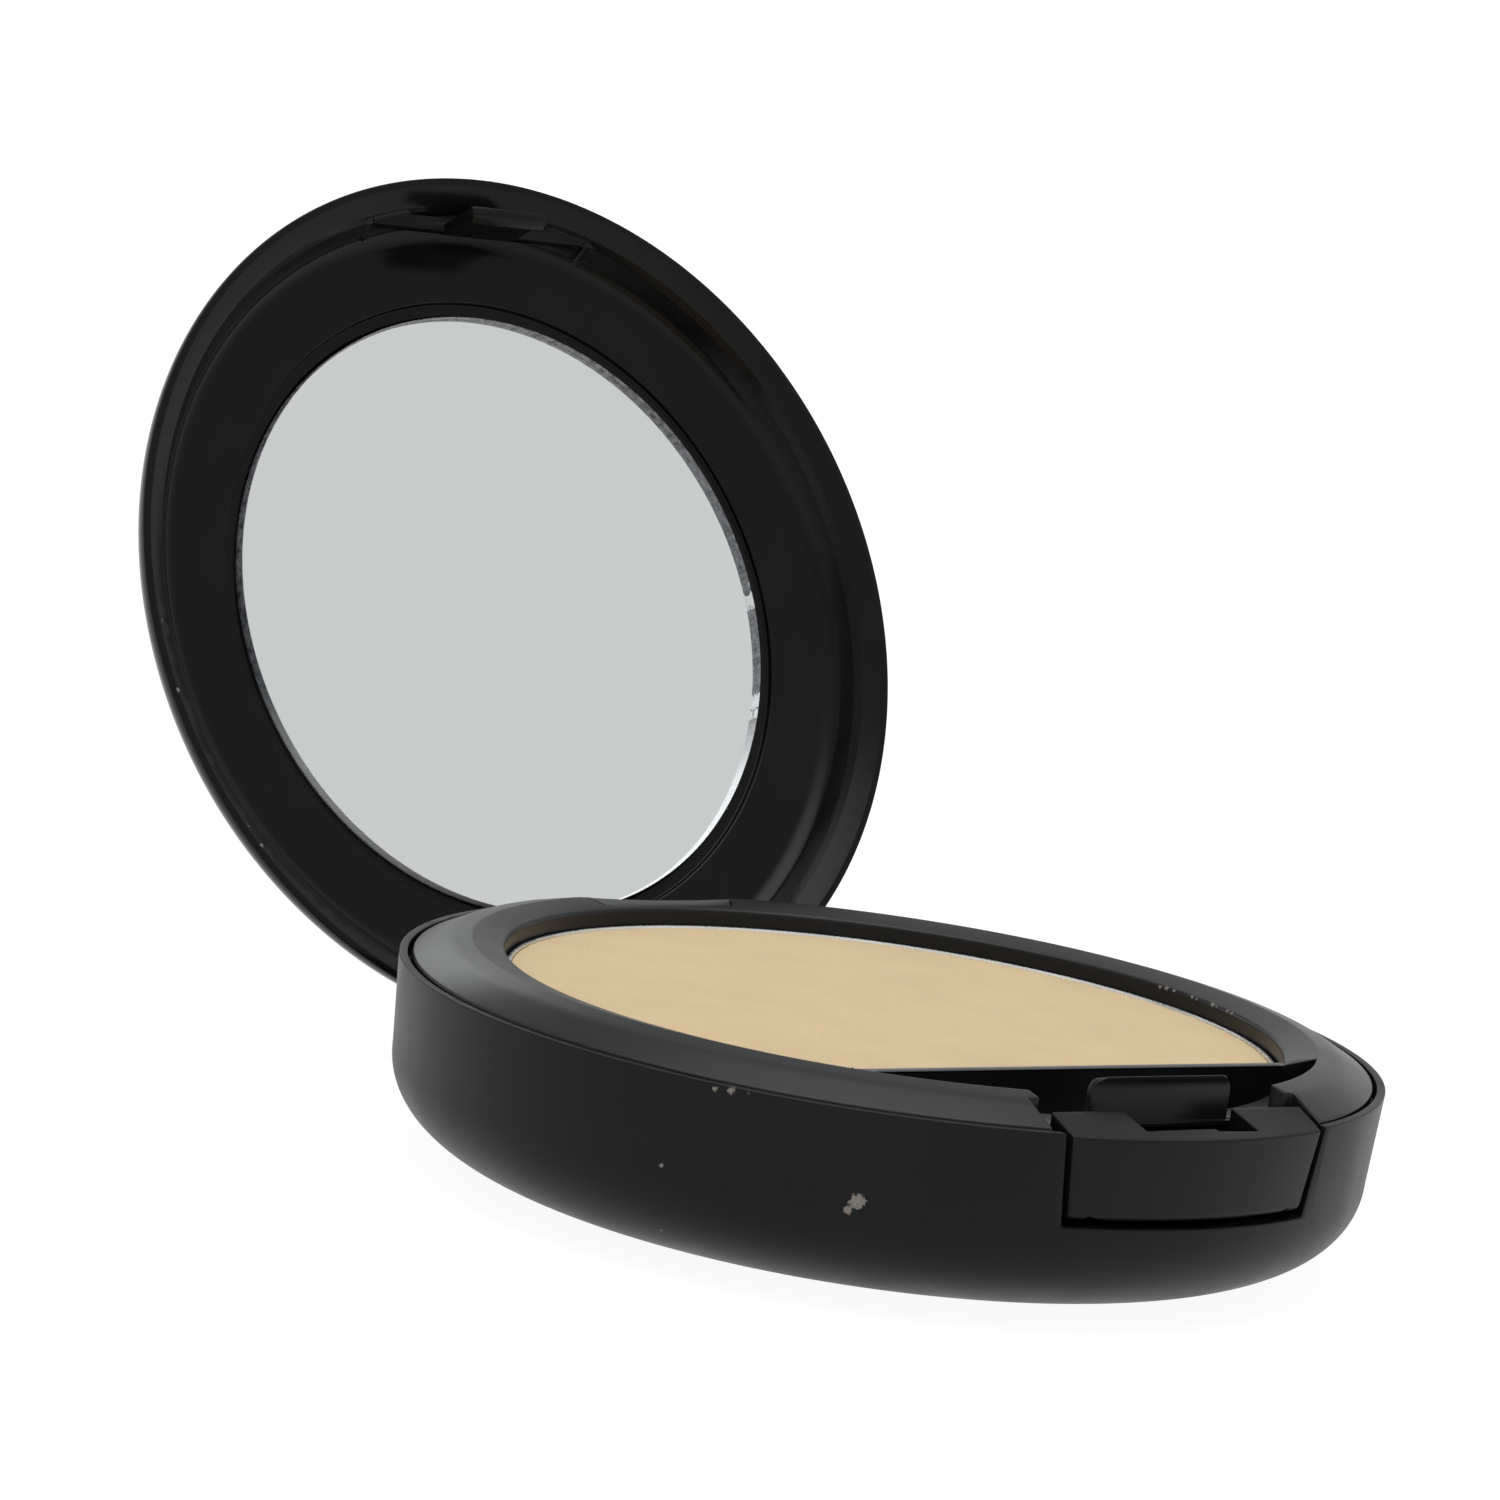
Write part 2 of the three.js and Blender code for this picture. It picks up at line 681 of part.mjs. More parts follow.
function named(name, body, finish) {
  const mesh = new THREE.Mesh(geometryOf(body), new THREE.MeshStandardMaterial(finishes[finish]));
  mesh.name = name;
  return mesh;
}

const compact = new THREE.Group();
compact.add(named("base_shell", makeBase(), "blackPlastic"));
compact.add(named("sponge_pad", makeSponge(), "foam"));
compact.add(named("powder_tray", makeTray(), "blackPlastic"));
compact.add(named("powder_pan", makePan(), "panMetal"));
compact.add(named("pan_adhesive", makePanAdhesive(), "adhesive"));
compact.add(named("pressed_powder", makePowder(), "powder"));
compact.add(named("latch_button", makeButton(), "blackPlastic"));
compact.add(named("latch_spring_left", makeSpring(-spring.x), "steel"));
compact.add(named("latch_spring_right", makeSpring(spring.x), "steel"));
for (const [side, name] of [[-1, "hinge_pin_left"], [1, "hinge_pin_right"]]) {
  const ends = [side * pin.inner, side * pin.outer];
  const body = rod(pin.radius, Math.min(...ends), Math.max(...ends), hinge.y, rise(-hinge.drop));
  compact.add(named(name, body, "steel"));
}

// The lid group turns about the hinge axis: its meshes are drawn closed and swung open.
const lidGroup = new THREE.Group();
const lidContents = new THREE.Group();
lidContents.position.set(0, -hinge.y, -rise(-hinge.drop));
lidContents.add(named("lid_shell", makeLid(), "blackPlastic"));
lidContents.add(named("lid_mirror", makeMirror(), "mirror"));
lidContents.add(named("mirror_adhesive", makeMirrorAdhesive(), "adhesive"));
lidGroup.add(lidContents);
lidGroup.position.set(0, hinge.y, rise(-hinge.drop));
lidGroup.rotation.x = THREE.MathUtils.degToRad(-hinge.openAngle);
compact.add(lidGroup);

export default compact;
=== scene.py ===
import json
import math

import bmesh
import bpy
import numpy as np
from mathutils import Matrix, Vector, noise


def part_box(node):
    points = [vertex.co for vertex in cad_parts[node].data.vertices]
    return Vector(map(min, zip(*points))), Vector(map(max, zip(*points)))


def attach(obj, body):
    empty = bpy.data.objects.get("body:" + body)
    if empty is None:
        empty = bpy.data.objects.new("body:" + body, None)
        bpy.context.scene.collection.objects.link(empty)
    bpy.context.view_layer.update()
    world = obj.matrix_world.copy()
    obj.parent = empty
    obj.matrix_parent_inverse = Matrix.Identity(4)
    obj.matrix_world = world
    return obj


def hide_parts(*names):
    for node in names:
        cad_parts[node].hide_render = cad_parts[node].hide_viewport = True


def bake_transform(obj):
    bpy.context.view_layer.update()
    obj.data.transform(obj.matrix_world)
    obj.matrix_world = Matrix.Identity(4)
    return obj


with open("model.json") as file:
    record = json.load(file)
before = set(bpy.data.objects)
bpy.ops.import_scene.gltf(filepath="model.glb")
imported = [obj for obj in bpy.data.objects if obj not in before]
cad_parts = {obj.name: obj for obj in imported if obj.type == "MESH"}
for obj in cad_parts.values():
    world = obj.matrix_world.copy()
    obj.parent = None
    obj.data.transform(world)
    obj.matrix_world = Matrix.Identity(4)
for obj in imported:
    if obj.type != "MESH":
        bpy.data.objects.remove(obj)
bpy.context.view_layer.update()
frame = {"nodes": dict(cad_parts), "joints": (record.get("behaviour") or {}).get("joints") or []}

# A powder compact with a mirror lid. Lengths below are millimetres in the CAD frame: the origin is the centre
# of the base's underside, +Z is up, -Y is the push button's side and +Y is the hinge's side.
MM = 0.001

BASE_LOW, BASE_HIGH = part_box("base_shell")
RIM_RADIUS = BASE_HIGH.x / MM
RIM_HEIGHT = BASE_HIGH.z / MM
HINGE = next(joint for joint in frame["joints"] if joint["name"] == "lid_hinge")
PRESS = next(joint for joint in frame["joints"] if joint["name"] == "button_press")
HINGE_Y, HINGE_Z = (value / MM for value in HINGE["pos_m"][1:])
OPEN_ANGLE = math.radians(HINGE["range_deg"][1])
BUTTON_TRAVEL = PRESS["range_m"][1] / MM

SEGMENTS = 288
WALL = 1.9
FLOOR = 1.7
EDGE = 0.12

# A cutting solid stands PROUD of the face it opens, and runs BEYOND the object where nothing stops it.
# Parts of one body LAP where they join.
PROUD = 1
BEYOND = 50
LAP = 0.3

FOOT = {"radius": 26.7, "shoulder_radius": 39.55, "shoulder_height": 8.2, "power": 2.19}
LEDGE = {"lip_radius": 39.3, "drop": 1.5, "radius": 38.1, "lap": 0.4}
TRAY = {
    "radius": 38.95, "edge_drop": 1.1, "edge_rise": 0.05, "bend": 36.2, "bend_rise": 1.45, "ridge": 34.35,
    "ridge_rise": 1.83, "opening": 31.6, "opening_rise": 1.25, "well_drop": 3.75, "bottom_drop": 4.85,
    "well_wall": 1.5, "crest_front": 24.1, "crest_width": 1.1, "channel_radius": 34.2, "channel_step": 0.5,
    "channel_drop": 2.6, "sill_half": 12.2, "sill_back": 30.2, "relief_drop": 1.0, "boss_drop": 2.0,
}
NOTCH = {"half_width": 13.25, "back": 33.4, "drop": 3.0}
LIFT_TAB = {
    "half_width": 7.0, "front": 33.5, "face": 33.15, "back": 32.5, "lip_rise": 2.35, "rise": 3.1,
    "back_rise": 2.7, "root": 0.8, "corner": 1.6,
}
PAN = {"radius": 31.3, "sheet": 0.3, "rim_drop": 0.1, "floor_drop": 3.45, "front": 22.8, "corner": 1.6}
CAKE = {"gap": 0.08, "drop": 0.24, "waviness": 0.02, "ripple": 5}
# "band" is how far apart a wave texture draws its bands at a scale of 1.
WEAVE = {"pitch": 0.46, "angles": (32, 122), "band": 0.314}
BUTTON = {
    "top_half": 12.4, "bottom_half": 11.5, "back": 35.1, "bottom_drop": 6.65, "recess": 0.05,
    "front_rise": -0.25, "back_rise": 0.95, "shell": 1.5, "plate_half": 12.8, "plate_top_drop": 5.3,
    "plate_back": 32.3, "plate_front": 36.2, "blank_rise": 3.0,
}
SLOT = {
    "half_width": 5.4, "front": 38.1, "drop": 2.2, "deep_front": 37.05, "deep_drop": 4.2,
    "hole_left": 1.4, "hole_front": 38.5,
}
KEEPER = {
    "half_width": 7.0, "front": 34.4, "back": 33.5, "top": 1.2, "bottom": 2.4, "arm_gap": 0.4,
    "side_room": 0.5, "back_room": 0.4,
}
WINDOW = {"top_half": 12.95, "bottom_half": 12.0, "drop": 7.15, "back": 36.0, "space_front": 36.5}
GUIDE = {"inner": 13.4, "thickness": 1.2, "tall_back": 31.0, "top_drop": 1.7}
RAIL = {"x": 5.0, "half": 0.6, "gap": 0.15}
SPRING = {
    "radius": 1.3, "wire": 0.32, "turns": 4, "x": 9.5, "drop": 6.65, "gap": 0.15, "pad_half": 1.6,
    "pad_depth": 1.4, "hold": 0.2,
}
BULKHEAD = {"back": 27.3, "thickness": 1.2, "half_width": 14.6, "gap": 0.35, "lap": 0.4}
KNUCKLE = {"half_width": 11.7, "gap": 0.4, "barrel": 2.6, "inner": 34.7, "outer": 39.2}
PIN = {"radius": 0.8, "hole_gap": 0.12, "lid_hole_gap": 0.25, "hole_reach": 20}
REAR_GAP = {"floor": 4.5, "front": 33.4}
BOSS = {"outer": 16.6, "front": 33.2, "bottom": 5.6, "top": 13.0, "side_room": 0.4, "front_room": 0.1}
LID = {
    "radius": 39.7, "side_rise": 0.5, "shoulder": 30.0, "shoulder_rise": 6.7, "crown_rise": 7.6,
    "power": 1.82, "rest_gap": 0.25, "flange_flat": 39.05, "flange_inner": 37.4, "flange_rise": 1.2,
    "wall_foot": 36.9, "wall_foot_rise": 1.9, "floor_outer": 35.75, "floor_rise": 4.4, "groove_outer": 29.2,
    "groove_rise": 4.95, "groove_inner": 28.05, "pocket_rise": 5.65,
}
MIRROR = {"radius": 27.8, "face_rise": 4.25, "thickness": 1.1, "edge": 0.1, "silver_depth": 0.62}
CATCH_BAR = {"half_span": 12.7, "front": 36.2, "back": 34.9, "bottom": 1.65, "top": 2.4}
CATCH_RIB = {"x": 12.1, "thickness": 1.2, "inner": 33.6, "foot": 38.2, "foot_rise": 0.95, "lap": 0.2}
CATCH_TAB = {"half_width": 3.9, "front": 35.6, "back": 34.75, "drop": 3.2, "tooth": 0.7, "tooth_height": 0.6}
SPONGE = {"radius": 26.0, "thickness": 7.2, "lift": 0.4, "round": 2.4, "crumple": 0.12, "lump": 6}


def rise(value):
    """A height above the base's rim plane, as a height above the underside."""
    return RIM_HEIGHT + value


# Outlines ---------------------------------------------------------------------------------------------------


def filleted(points, closed=False, steps=6):
    """An outline with a round of radius r at each point given as (a, b, r)."""
    corners = [np.array(point[:2], float) for point in points]
    rounds = [point[2] if len(point) > 2 else 0.0 for point in points]
    outline = []
    for index, (corner, radius) in enumerate(zip(corners, rounds)):
        at_end = not closed and index in (0, len(corners) - 1)
        if radius <= 0 or at_end:
            outline.append(tuple(corner))
            continue
        before = corners[index - 1] - corner
        after = corners[(index + 1) % len(corners)] - corner
        room = 0.49 * min(np.linalg.norm(before), np.linalg.norm(after))
        before /= np.linalg.norm(before)
        after /= np.linalg.norm(after)
        half = math.acos(float(np.clip(before @ after, -1, 1))) / 2
        cut = min(radius / math.tan(half), room)
        middle = before + after
        centre = corner + middle / np.linalg.norm(middle) * cut / math.cos(half)
        first, last = corner + before * cut - centre, corner + after * cut - centre
        turn = math.pi - 2 * half
        for step in range(steps + 1):
            share = step / steps
            blend = math.sin((1 - share) * turn) * first + math.sin(share * turn) * last
            outline.append(tuple(centre + blend / math.sin(turn)))
    return outline


def superellipse(outer, inner, start, end, power, steps):
    """A quarter of a superellipse from (outer, start) round to (inner, end)."""
    points = []
    for step in range(steps + 1):
        angle = math.pi / 2 * step / steps
        across = max(math.cos(angle), 0.0) ** (2 / power)
        up = math.sin(angle) ** (2 / power)
        points.append((inner + (outer - inner) * across, start + (end - start) * up))
    return points


# Meshes -----------------------------------------------------------------------------------------------------


def new_piece(name, vertices, faces):
    mesh = bpy.data.meshes.new(name)
    mesh.from_pydata([Vector(v) * MM for v in vertices], [], faces)
    piece = bpy.data.objects.new(name, mesh)
    bpy.context.scene.collection.objects.link(piece)
    edit(piece, lambda bm: bmesh.ops.recalc_face_normals(bm, faces=bm.faces))
    return piece


def edit(piece, change):
    """Changes a piece's mesh with a function of its bmesh."""
    bm = bmesh.new()
    bm.from_mesh(piece.data)
    change(bm)
    bm.to_mesh(piece.data)
    bm.free()


def lathe(name, profile, segments=SEGMENTS):
    """A closed solid of revolution about Z, from a profile that starts and ends on the axis."""
    rings, vertices, faces = [], [], []
    for radius, height in profile:
        if radius < 1e-6:
            rings.append([len(vertices)])
            vertices.append((0, 0, height))
            continue
        rings.append(range(len(vertices), len(vertices) + segments))
        for k in range(segments):
            angle = 2 * math.pi * k / segments
            vertices.append((radius * math.cos(angle), radius * math.sin(angle), height))
    for lower, upper in zip(rings, rings[1:]):
        for k in range(segments):
            after = (k + 1) % segments
            loop = [lower[k % len(lower)], lower[after % len(lower)]]
            loop += [upper[after % len(upper)], upper[k % len(upper)]]
            corners = list(dict.fromkeys(loop))
            if len(corners) > 2:
                faces.append(corners)
    return new_piece(name, vertices, faces)


PLACES = {
    "x": lambda a, b, along: (along, a, b),
    "y": lambda a, b, along: (a, along, b),
    "z": lambda a, b, along: (a, b, along),
}


def prism(outline, axis, low, high, name="tool"):
    """An outline of (a, b) points pushed along an axis: (y, z) along x, (x, z) along y or (x, y) along z."""
    count = len(outline)
    place = PLACES[axis]
    vertices = [place(*point[:2], low) for point in outline] + [place(*point[:2], high) for point in outline]
    sides = [(k, (k + 1) % count, (k + 1) % count + count, k + count) for k in range(count)]
    return new_piece(name, vertices, [range(count), range(count, 2 * count), *sides])


def block(low, high, name="tool"):
    outline = [(low[0], low[1]), (high[0], low[1]), (high[0], high[1]), (low[0], high[1])]
    return prism(outline, "z", low[2], high[2], name)


def disc(radius, low, high):
    return lathe("tool", [(0, low), (radius, low), (radius, high), (0, high)])


def rod(radius, start, end, y, z, name="tool", segments=48):
    """A rod along X."""
    angles = [2 * math.pi * k / segments for k in range(segments)]
    outline = [(y + radius * math.cos(a), z + radius * math.sin(a)) for a in angles]
    return prism(outline, "x", start, end, name)


def settle(piece):
    """Applies a piece's modifiers to its mesh."""
    bpy.context.view_layer.update()
    depsgraph = bpy.context.evaluated_depsgraph_get()
    result = bpy.data.meshes.new_from_object(piece.evaluated_get(depsgraph))
    piece.modifiers.clear()
    piece.data = result


def combine(piece, operation, *tools):
    """Joins the tools to the piece, cuts them from it, or keeps what they share."""
    for tool in tools:
        modifier = piece.modifiers.new(operation, "BOOLEAN")
        modifier.operation = operation
        modifier.object = tool
        modifier.solver = "MANIFOLD"
        settle(piece)
        bpy.data.objects.remove(tool)
    return piece


def add(piece, *tools):
    return combine(piece, "UNION", *tools)


def cut(piece, *tools):
    return combine(piece, "DIFFERENCE", *tools)


def keep(piece, *tools):
    return combine(piece, "INTERSECT", *tools)


def soften(piece, width=EDGE, segments=2, angle=38):
    """Rounds the sharp edges of a piece and shades it smooth."""

    def clean(bm):
        bmesh.ops.remove_doubles(bm, verts=bm.verts, dist=width * MM / 6)
        bmesh.ops.dissolve_degenerate(bm, edges=bm.edges, dist=width * MM / 20)

    edit(piece, clean)
    bevel = piece.modifiers.new("edges", "BEVEL")
    bevel.width = width * MM
    bevel.segments = segments
    bevel.limit_method = "ANGLE"
    bevel.angle_limit = math.radians(angle)
    bevel.use_clamp_overlap = False
    bevel.miter_outer = "MITER_ARC"
    settle(piece)
    return smooth(piece)


def smooth(piece, angle=38):
    piece.data.shade_smooth()
    piece.data.set_sharp_from_angle(angle=math.radians(angle))
    return piece


def swung_open(piece):
    """A piece of the lid drawn closed on the base, swung to where the lid stands."""
    centre = Vector((0, HINGE_Y, HINGE_Z)) * MM
    turn = Matrix.Rotation(-OPEN_ANGLE, 4, "X")
    piece.data.transform(Matrix.Translation(centre) @ turn @ Matrix.Translation(-centre))
    return piece


# Materials --------------------------------------------------------------------------------------------------


def node(tree, kind, values=None, **settings):
    """A new shader node. values sets or links its inputs, and settings sets its other properties."""
    made = tree.nodes.new(kind)
    for key, value in settings.items():
        setattr(made, key, value)
    for key, value in (values or {}).items():
        if isinstance(value, bpy.types.NodeSocket):
            tree.links.new(value, made.inputs[key])
        else:
            made.inputs[key].default_value = value
    return made


def new_material(name, **uniform):
    """A material with its Principled shader's uniform sockets set. Returns it with its tree and shader."""
    material = bpy.data.materials.new(name)
    material.use_nodes = True
    shader = material.node_tree.nodes["Principled BSDF"]
    for key, value in uniform.items():
        shader.inputs[key.replace("_", " ")].default_value = value
    return material, material.node_tree, shader


def place_of(tree):
    """The point on the object, in metres in the CAD frame at rest."""
    return node(tree, "ShaderNodeTexCoord").outputs["Object"]


def grain(tree, place, size, detail=2.0, roughness=0.5):
    """Noise whose features are about size millimetres."""
    values = {"Vector": place, "Scale": 1 / (size * MM), "Detail": detail, "Roughness": roughness}
    return node(tree, "ShaderNodeTexNoise", values).outputs["Fac"]


def ranged(tree, value, low, high, start=0.3, end=0.7):
    values = {"Value": value, "From Min": start, "From Max": end, "To Min": low, "To Max": high}
    return node(tree, "ShaderNodeMapRange", values).outputs["Result"]


def maths(tree, operation, first, second=0.0):
    return node(tree, "ShaderNodeMath", {0: first, 1: second}, operation=operation).outputs["Value"]


def mixed(tree, share, first, second):
    """A colour between two colours."""
    made = node(tree, "ShaderNodeMix", data_type="RGBA")
    for index, value in ((0, share), (6, first), (7, second)):
        if isinstance(value, bpy.types.NodeSocket):
            tree.links.new(value, made.inputs[index])
        else:
            made.inputs[index].default_value = value if index == 0 else (*value, 1)
    return made.outputs[2]


def bumped(tree, shader, *layers):
    """Bump from (height, depth in millimetres) layers."""
    normal = None
    for height, depth in layers:
        values = {"Height": height, "Distance": depth * MM, "Strength": 1.0}
        if normal is not None:
            values["Normal"] = normal
        normal = node(tree, "ShaderNodeBump", values).outputs["Normal"]
    tree.links.new(normal, shader.inputs["Normal"])


def speckled(tree, place, specks):
    """A mask of small ragged marks at (x, y, z, radius) places, in millimetres."""
    ragged = grain(tree, place, 0.35, detail=3.0, roughness=0.7)
    mask = None
    for x, y, z, radius in specks:
        spot = (x * MM, y * MM, z * MM)
        away = node(tree, "ShaderNodeVectorMath", {0: place, 1: spot}, operation="DISTANCE").outputs["Value"]
        reach = maths(tree, "MULTIPLY", ragged, 2 * radius * MM)
        one = ranged(tree, maths(tree, "SUBTRACT", reach, away), 0.0, 1.0, 0.0, 0.12 * MM)
        mask = one if mask is None else maths(tree, "MAXIMUM", mask, one)
    return mask


def black_plastic(name, specks=(), low=0.36, high=0.46, gloss=0.15, shade=(0.0038, 0.004, 0.0043)):
    """Moulded black plastic with a fine satin grain, faint smears and small pale scuffs."""
    material, tree, shader = new_material(name, Specular_IOR_Level=gloss, IOR=1.5)
    place = place_of(tree)
    smears = grain(tree, place, 9.0, detail=4.0)
    fine = grain(tree, place, 0.16, detail=2.0)
    body = mixed(tree, ranged(tree, smears, 0.0, 1.0), [0.75 * c for c in shade], [1.3 * c for c in shade])
    rough = ranged(tree, smears, low, high)
    if specks:
        mask = speckled(tree, place, specks)
        pale = mixed(tree, fine, (0.1, 0.09, 0.08), (0.34, 0.31, 0.27))
        body = mixed(tree, maths(tree, "MULTIPLY", mask, 0.8), body, pale)
        rough = maths(tree, "MAXIMUM", rough, maths(tree, "MULTIPLY", mask, 0.8))
    tree.links.new(body, shader.inputs["Base Color"])
    tree.links.new(rough, shader.inputs["Roughness"])
    bumped(tree, shader, (fine, 0.003), (smears, 0.01))
    return material


def pressed_powder_material():
    """Beige pressed powder with the fine weave of the cloth it was pressed through."""
    material, tree, shader = new_material("pressed_powder", Specular_IOR_Level=0.15, Sheen_Weight=0.15)
    shader.inputs["Sheen Roughness"].default_value = 0.6
    place = place_of(tree)
    mottle = grain(tree, place, 7.0, detail=5.0)
    speck = grain(tree, place, 0.12, detail=2.0)
    tint = mixed(tree, ranged(tree, mottle, 0.0, 1.0), (0.515, 0.38, 0.212), (0.556, 0.417, 0.237))
    dusty = mixed(tree, ranged(tree, speck, 0.0, 0.35, 0.45, 0.75), tint, (0.63, 0.51, 0.35))
    tree.links.new(dusty, shader.inputs["Base Color"])
    shader.inputs["Roughness"].default_value = 0.95
    threads = None
    for angle in WEAVE["angles"]:
        turned = node(tree, "ShaderNodeMapping", {"Vector": place, "Rotation": (0, 0, math.radians(angle))})
        scale = 1 / (WEAVE["pitch"] * MM) * WEAVE["band"]
        values = {"Vector": turned.outputs["Vector"], "Scale": scale, "Distortion": 0.6, "Detail": 1.0}
        wave = node(tree, "ShaderNodeTexWave", values).outputs["Fac"]
        threads = wave if threads is None else maths(tree, "MULTIPLY", threads, wave)
    bumped(tree, shader, (threads, 0.018), (speck, 0.025))
    return material


def sheet_metal(name, colour=(0.78, 0.79, 0.8), low=0.22, high=0.38):
    """Bright metal with fine drawing marks."""
    material, tree, shader = new_material(name, Metallic=1.0)
    place = place_of(tree)
    marks = grain(tree, place, 0.3, detail=4.0)
    stain = grain(tree, place, 5.0)
    tone = mixed(tree, ranged(tree, stain, 0.0, 1.0), [0.85 * c for c in colour], colour)
    tree.links.new(tone, shader.inputs["Base Color"])
    tree.links.new(ranged(tree, marks, low, high), shader.inputs["Roughness"])
    bumped(tree, shader, (marks, 0.003))
    return material


def silvered_glass(specks):
    """The mirror's silver, with a trace of haze and two dark specks."""
    material, tree, shader = new_material("silvered_glass", Metallic=1.0)
    place = place_of(tree)
    haze = grain(tree, place, 14.0, detail=3.0)
    silver = mixed(tree, ranged(tree, haze, 0.0, 1.0), (0.9, 0.915, 0.915), (0.93, 0.945, 0.945))
    marked = mixed(tree, speckled(tree, place, specks), silver, (0.12, 0.1, 0.09))
    tree.links.new(marked, shader.inputs["Base Color"])
    tree.links.new(ranged(tree, haze, 0.02, 0.035), shader.inputs["Roughness"])
    return material


def cut_glass(chipped):
    """The ground edge of the mirror: grey streaks, white chips, and a painted highlight that makes it
    brighter towards the hinge.
    """
    material, tree, shader = new_material("cut_glass_edge", Specular_IOR_Level=0.3, IOR=1.5)
    place = place_of(tree)
    streaks = grain(tree, place, 0.7, detail=6.0, roughness=0.75)
    chips = grain(tree, place, 0.35, detail=3.0)
    height = node(tree, "ShaderNodeSeparateXYZ", {0: place}).outputs["Z"]
    # Painted highlight: the edge is made whiter lower down, towards the hinge, and the real white chips are
    # mixed in with it.
    painted_highlight_towards_hinge = ranged(tree, height, 1.0, 0.0, 24 * MM, 31 * MM)
    bright = maths(tree, "MAXIMUM", painted_highlight_towards_hinge, speckled(tree, place, chipped))
    grey = mixed(tree, ranged(tree, streaks, 0.0, 1.0, 0.36, 0.66), (0.04, 0.043, 0.05), (0.3, 0.31, 0.33))
    grey = mixed(tree, bright, grey, (0.8, 0.82, 0.84))
    tree.links.new(grey, shader.inputs["Base Color"])
    tree.links.new(ranged(tree, chips, 0.15, 0.5), shader.inputs["Roughness"])
    bumped(tree, shader, (chips, 0.05))
    return material


def foam():
    """Fine beige sponge with open pores."""
    material, tree, shader = new_material("sponge_foam", Specular_IOR_Level=0.2, Sheen_Weight=0.2)
    place = place_of(tree)
    values = {"Vector": place, "Scale": 1 / (0.55 * MM), "Randomness": 1.0}
    pores = node(tree, "ShaderNodeTexVoronoi", values).outputs["Distance"]
    tone = mixed(tree, ranged(tree, pores, 0.0, 1.0, 0.1, 0.5), (0.62, 0.5, 0.38), (0.86, 0.75, 0.61))
    tree.links.new(tone, shader.inputs["Base Color"])
    shader.inputs["Roughness"].default_value = 0.95
    bumped(tree, shader, (pores, 0.15), (grain(tree, place, 4.0), 0.3))
    return material


def soft_glue():
    """Cream glue and tape with a few trapped bubbles."""
    material, tree, shader = new_material("soft_glue", Specular_IOR_Level=0.4)
    place = place_of(tree)
    bubbles = grain(tree, place, 1.2, detail=3.0)
    tone = mixed(tree, ranged(tree, bubbles, 0.0, 1.0), (0.66, 0.63, 0.55), (0.8, 0.78, 0.71))
    tree.links.new(tone, shader.inputs["Base Color"])
    tree.links.new(ranged(tree, bubbles, 0.4, 0.65), shader.inputs["Roughness"])
    bumped(tree, shader, (bubbles, 0.04))
    return material


def stand(piece, body, material, slot, *nodes):
    """Gives a piece its material, unless it has one, and its body, and lets it stand for CAD nodes."""
    if material:
        piece.data.materials.clear()
        piece.data.materials.append(material)
    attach(piece, body)
    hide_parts(*nodes)
    return piece


# Base -------------------------------------------------------------------------------------------------------


def base_curve(inset, steps):
    """The tub's outside from the underside to the shoulder, moved in by inset."""
    curve = superellipse(
        FOOT["shoulder_radius"] - inset, FOOT["radius"] - inset, FOOT["shoulder_height"], inset,
        FOOT["power"], steps,
    )
    return curve[::-1]


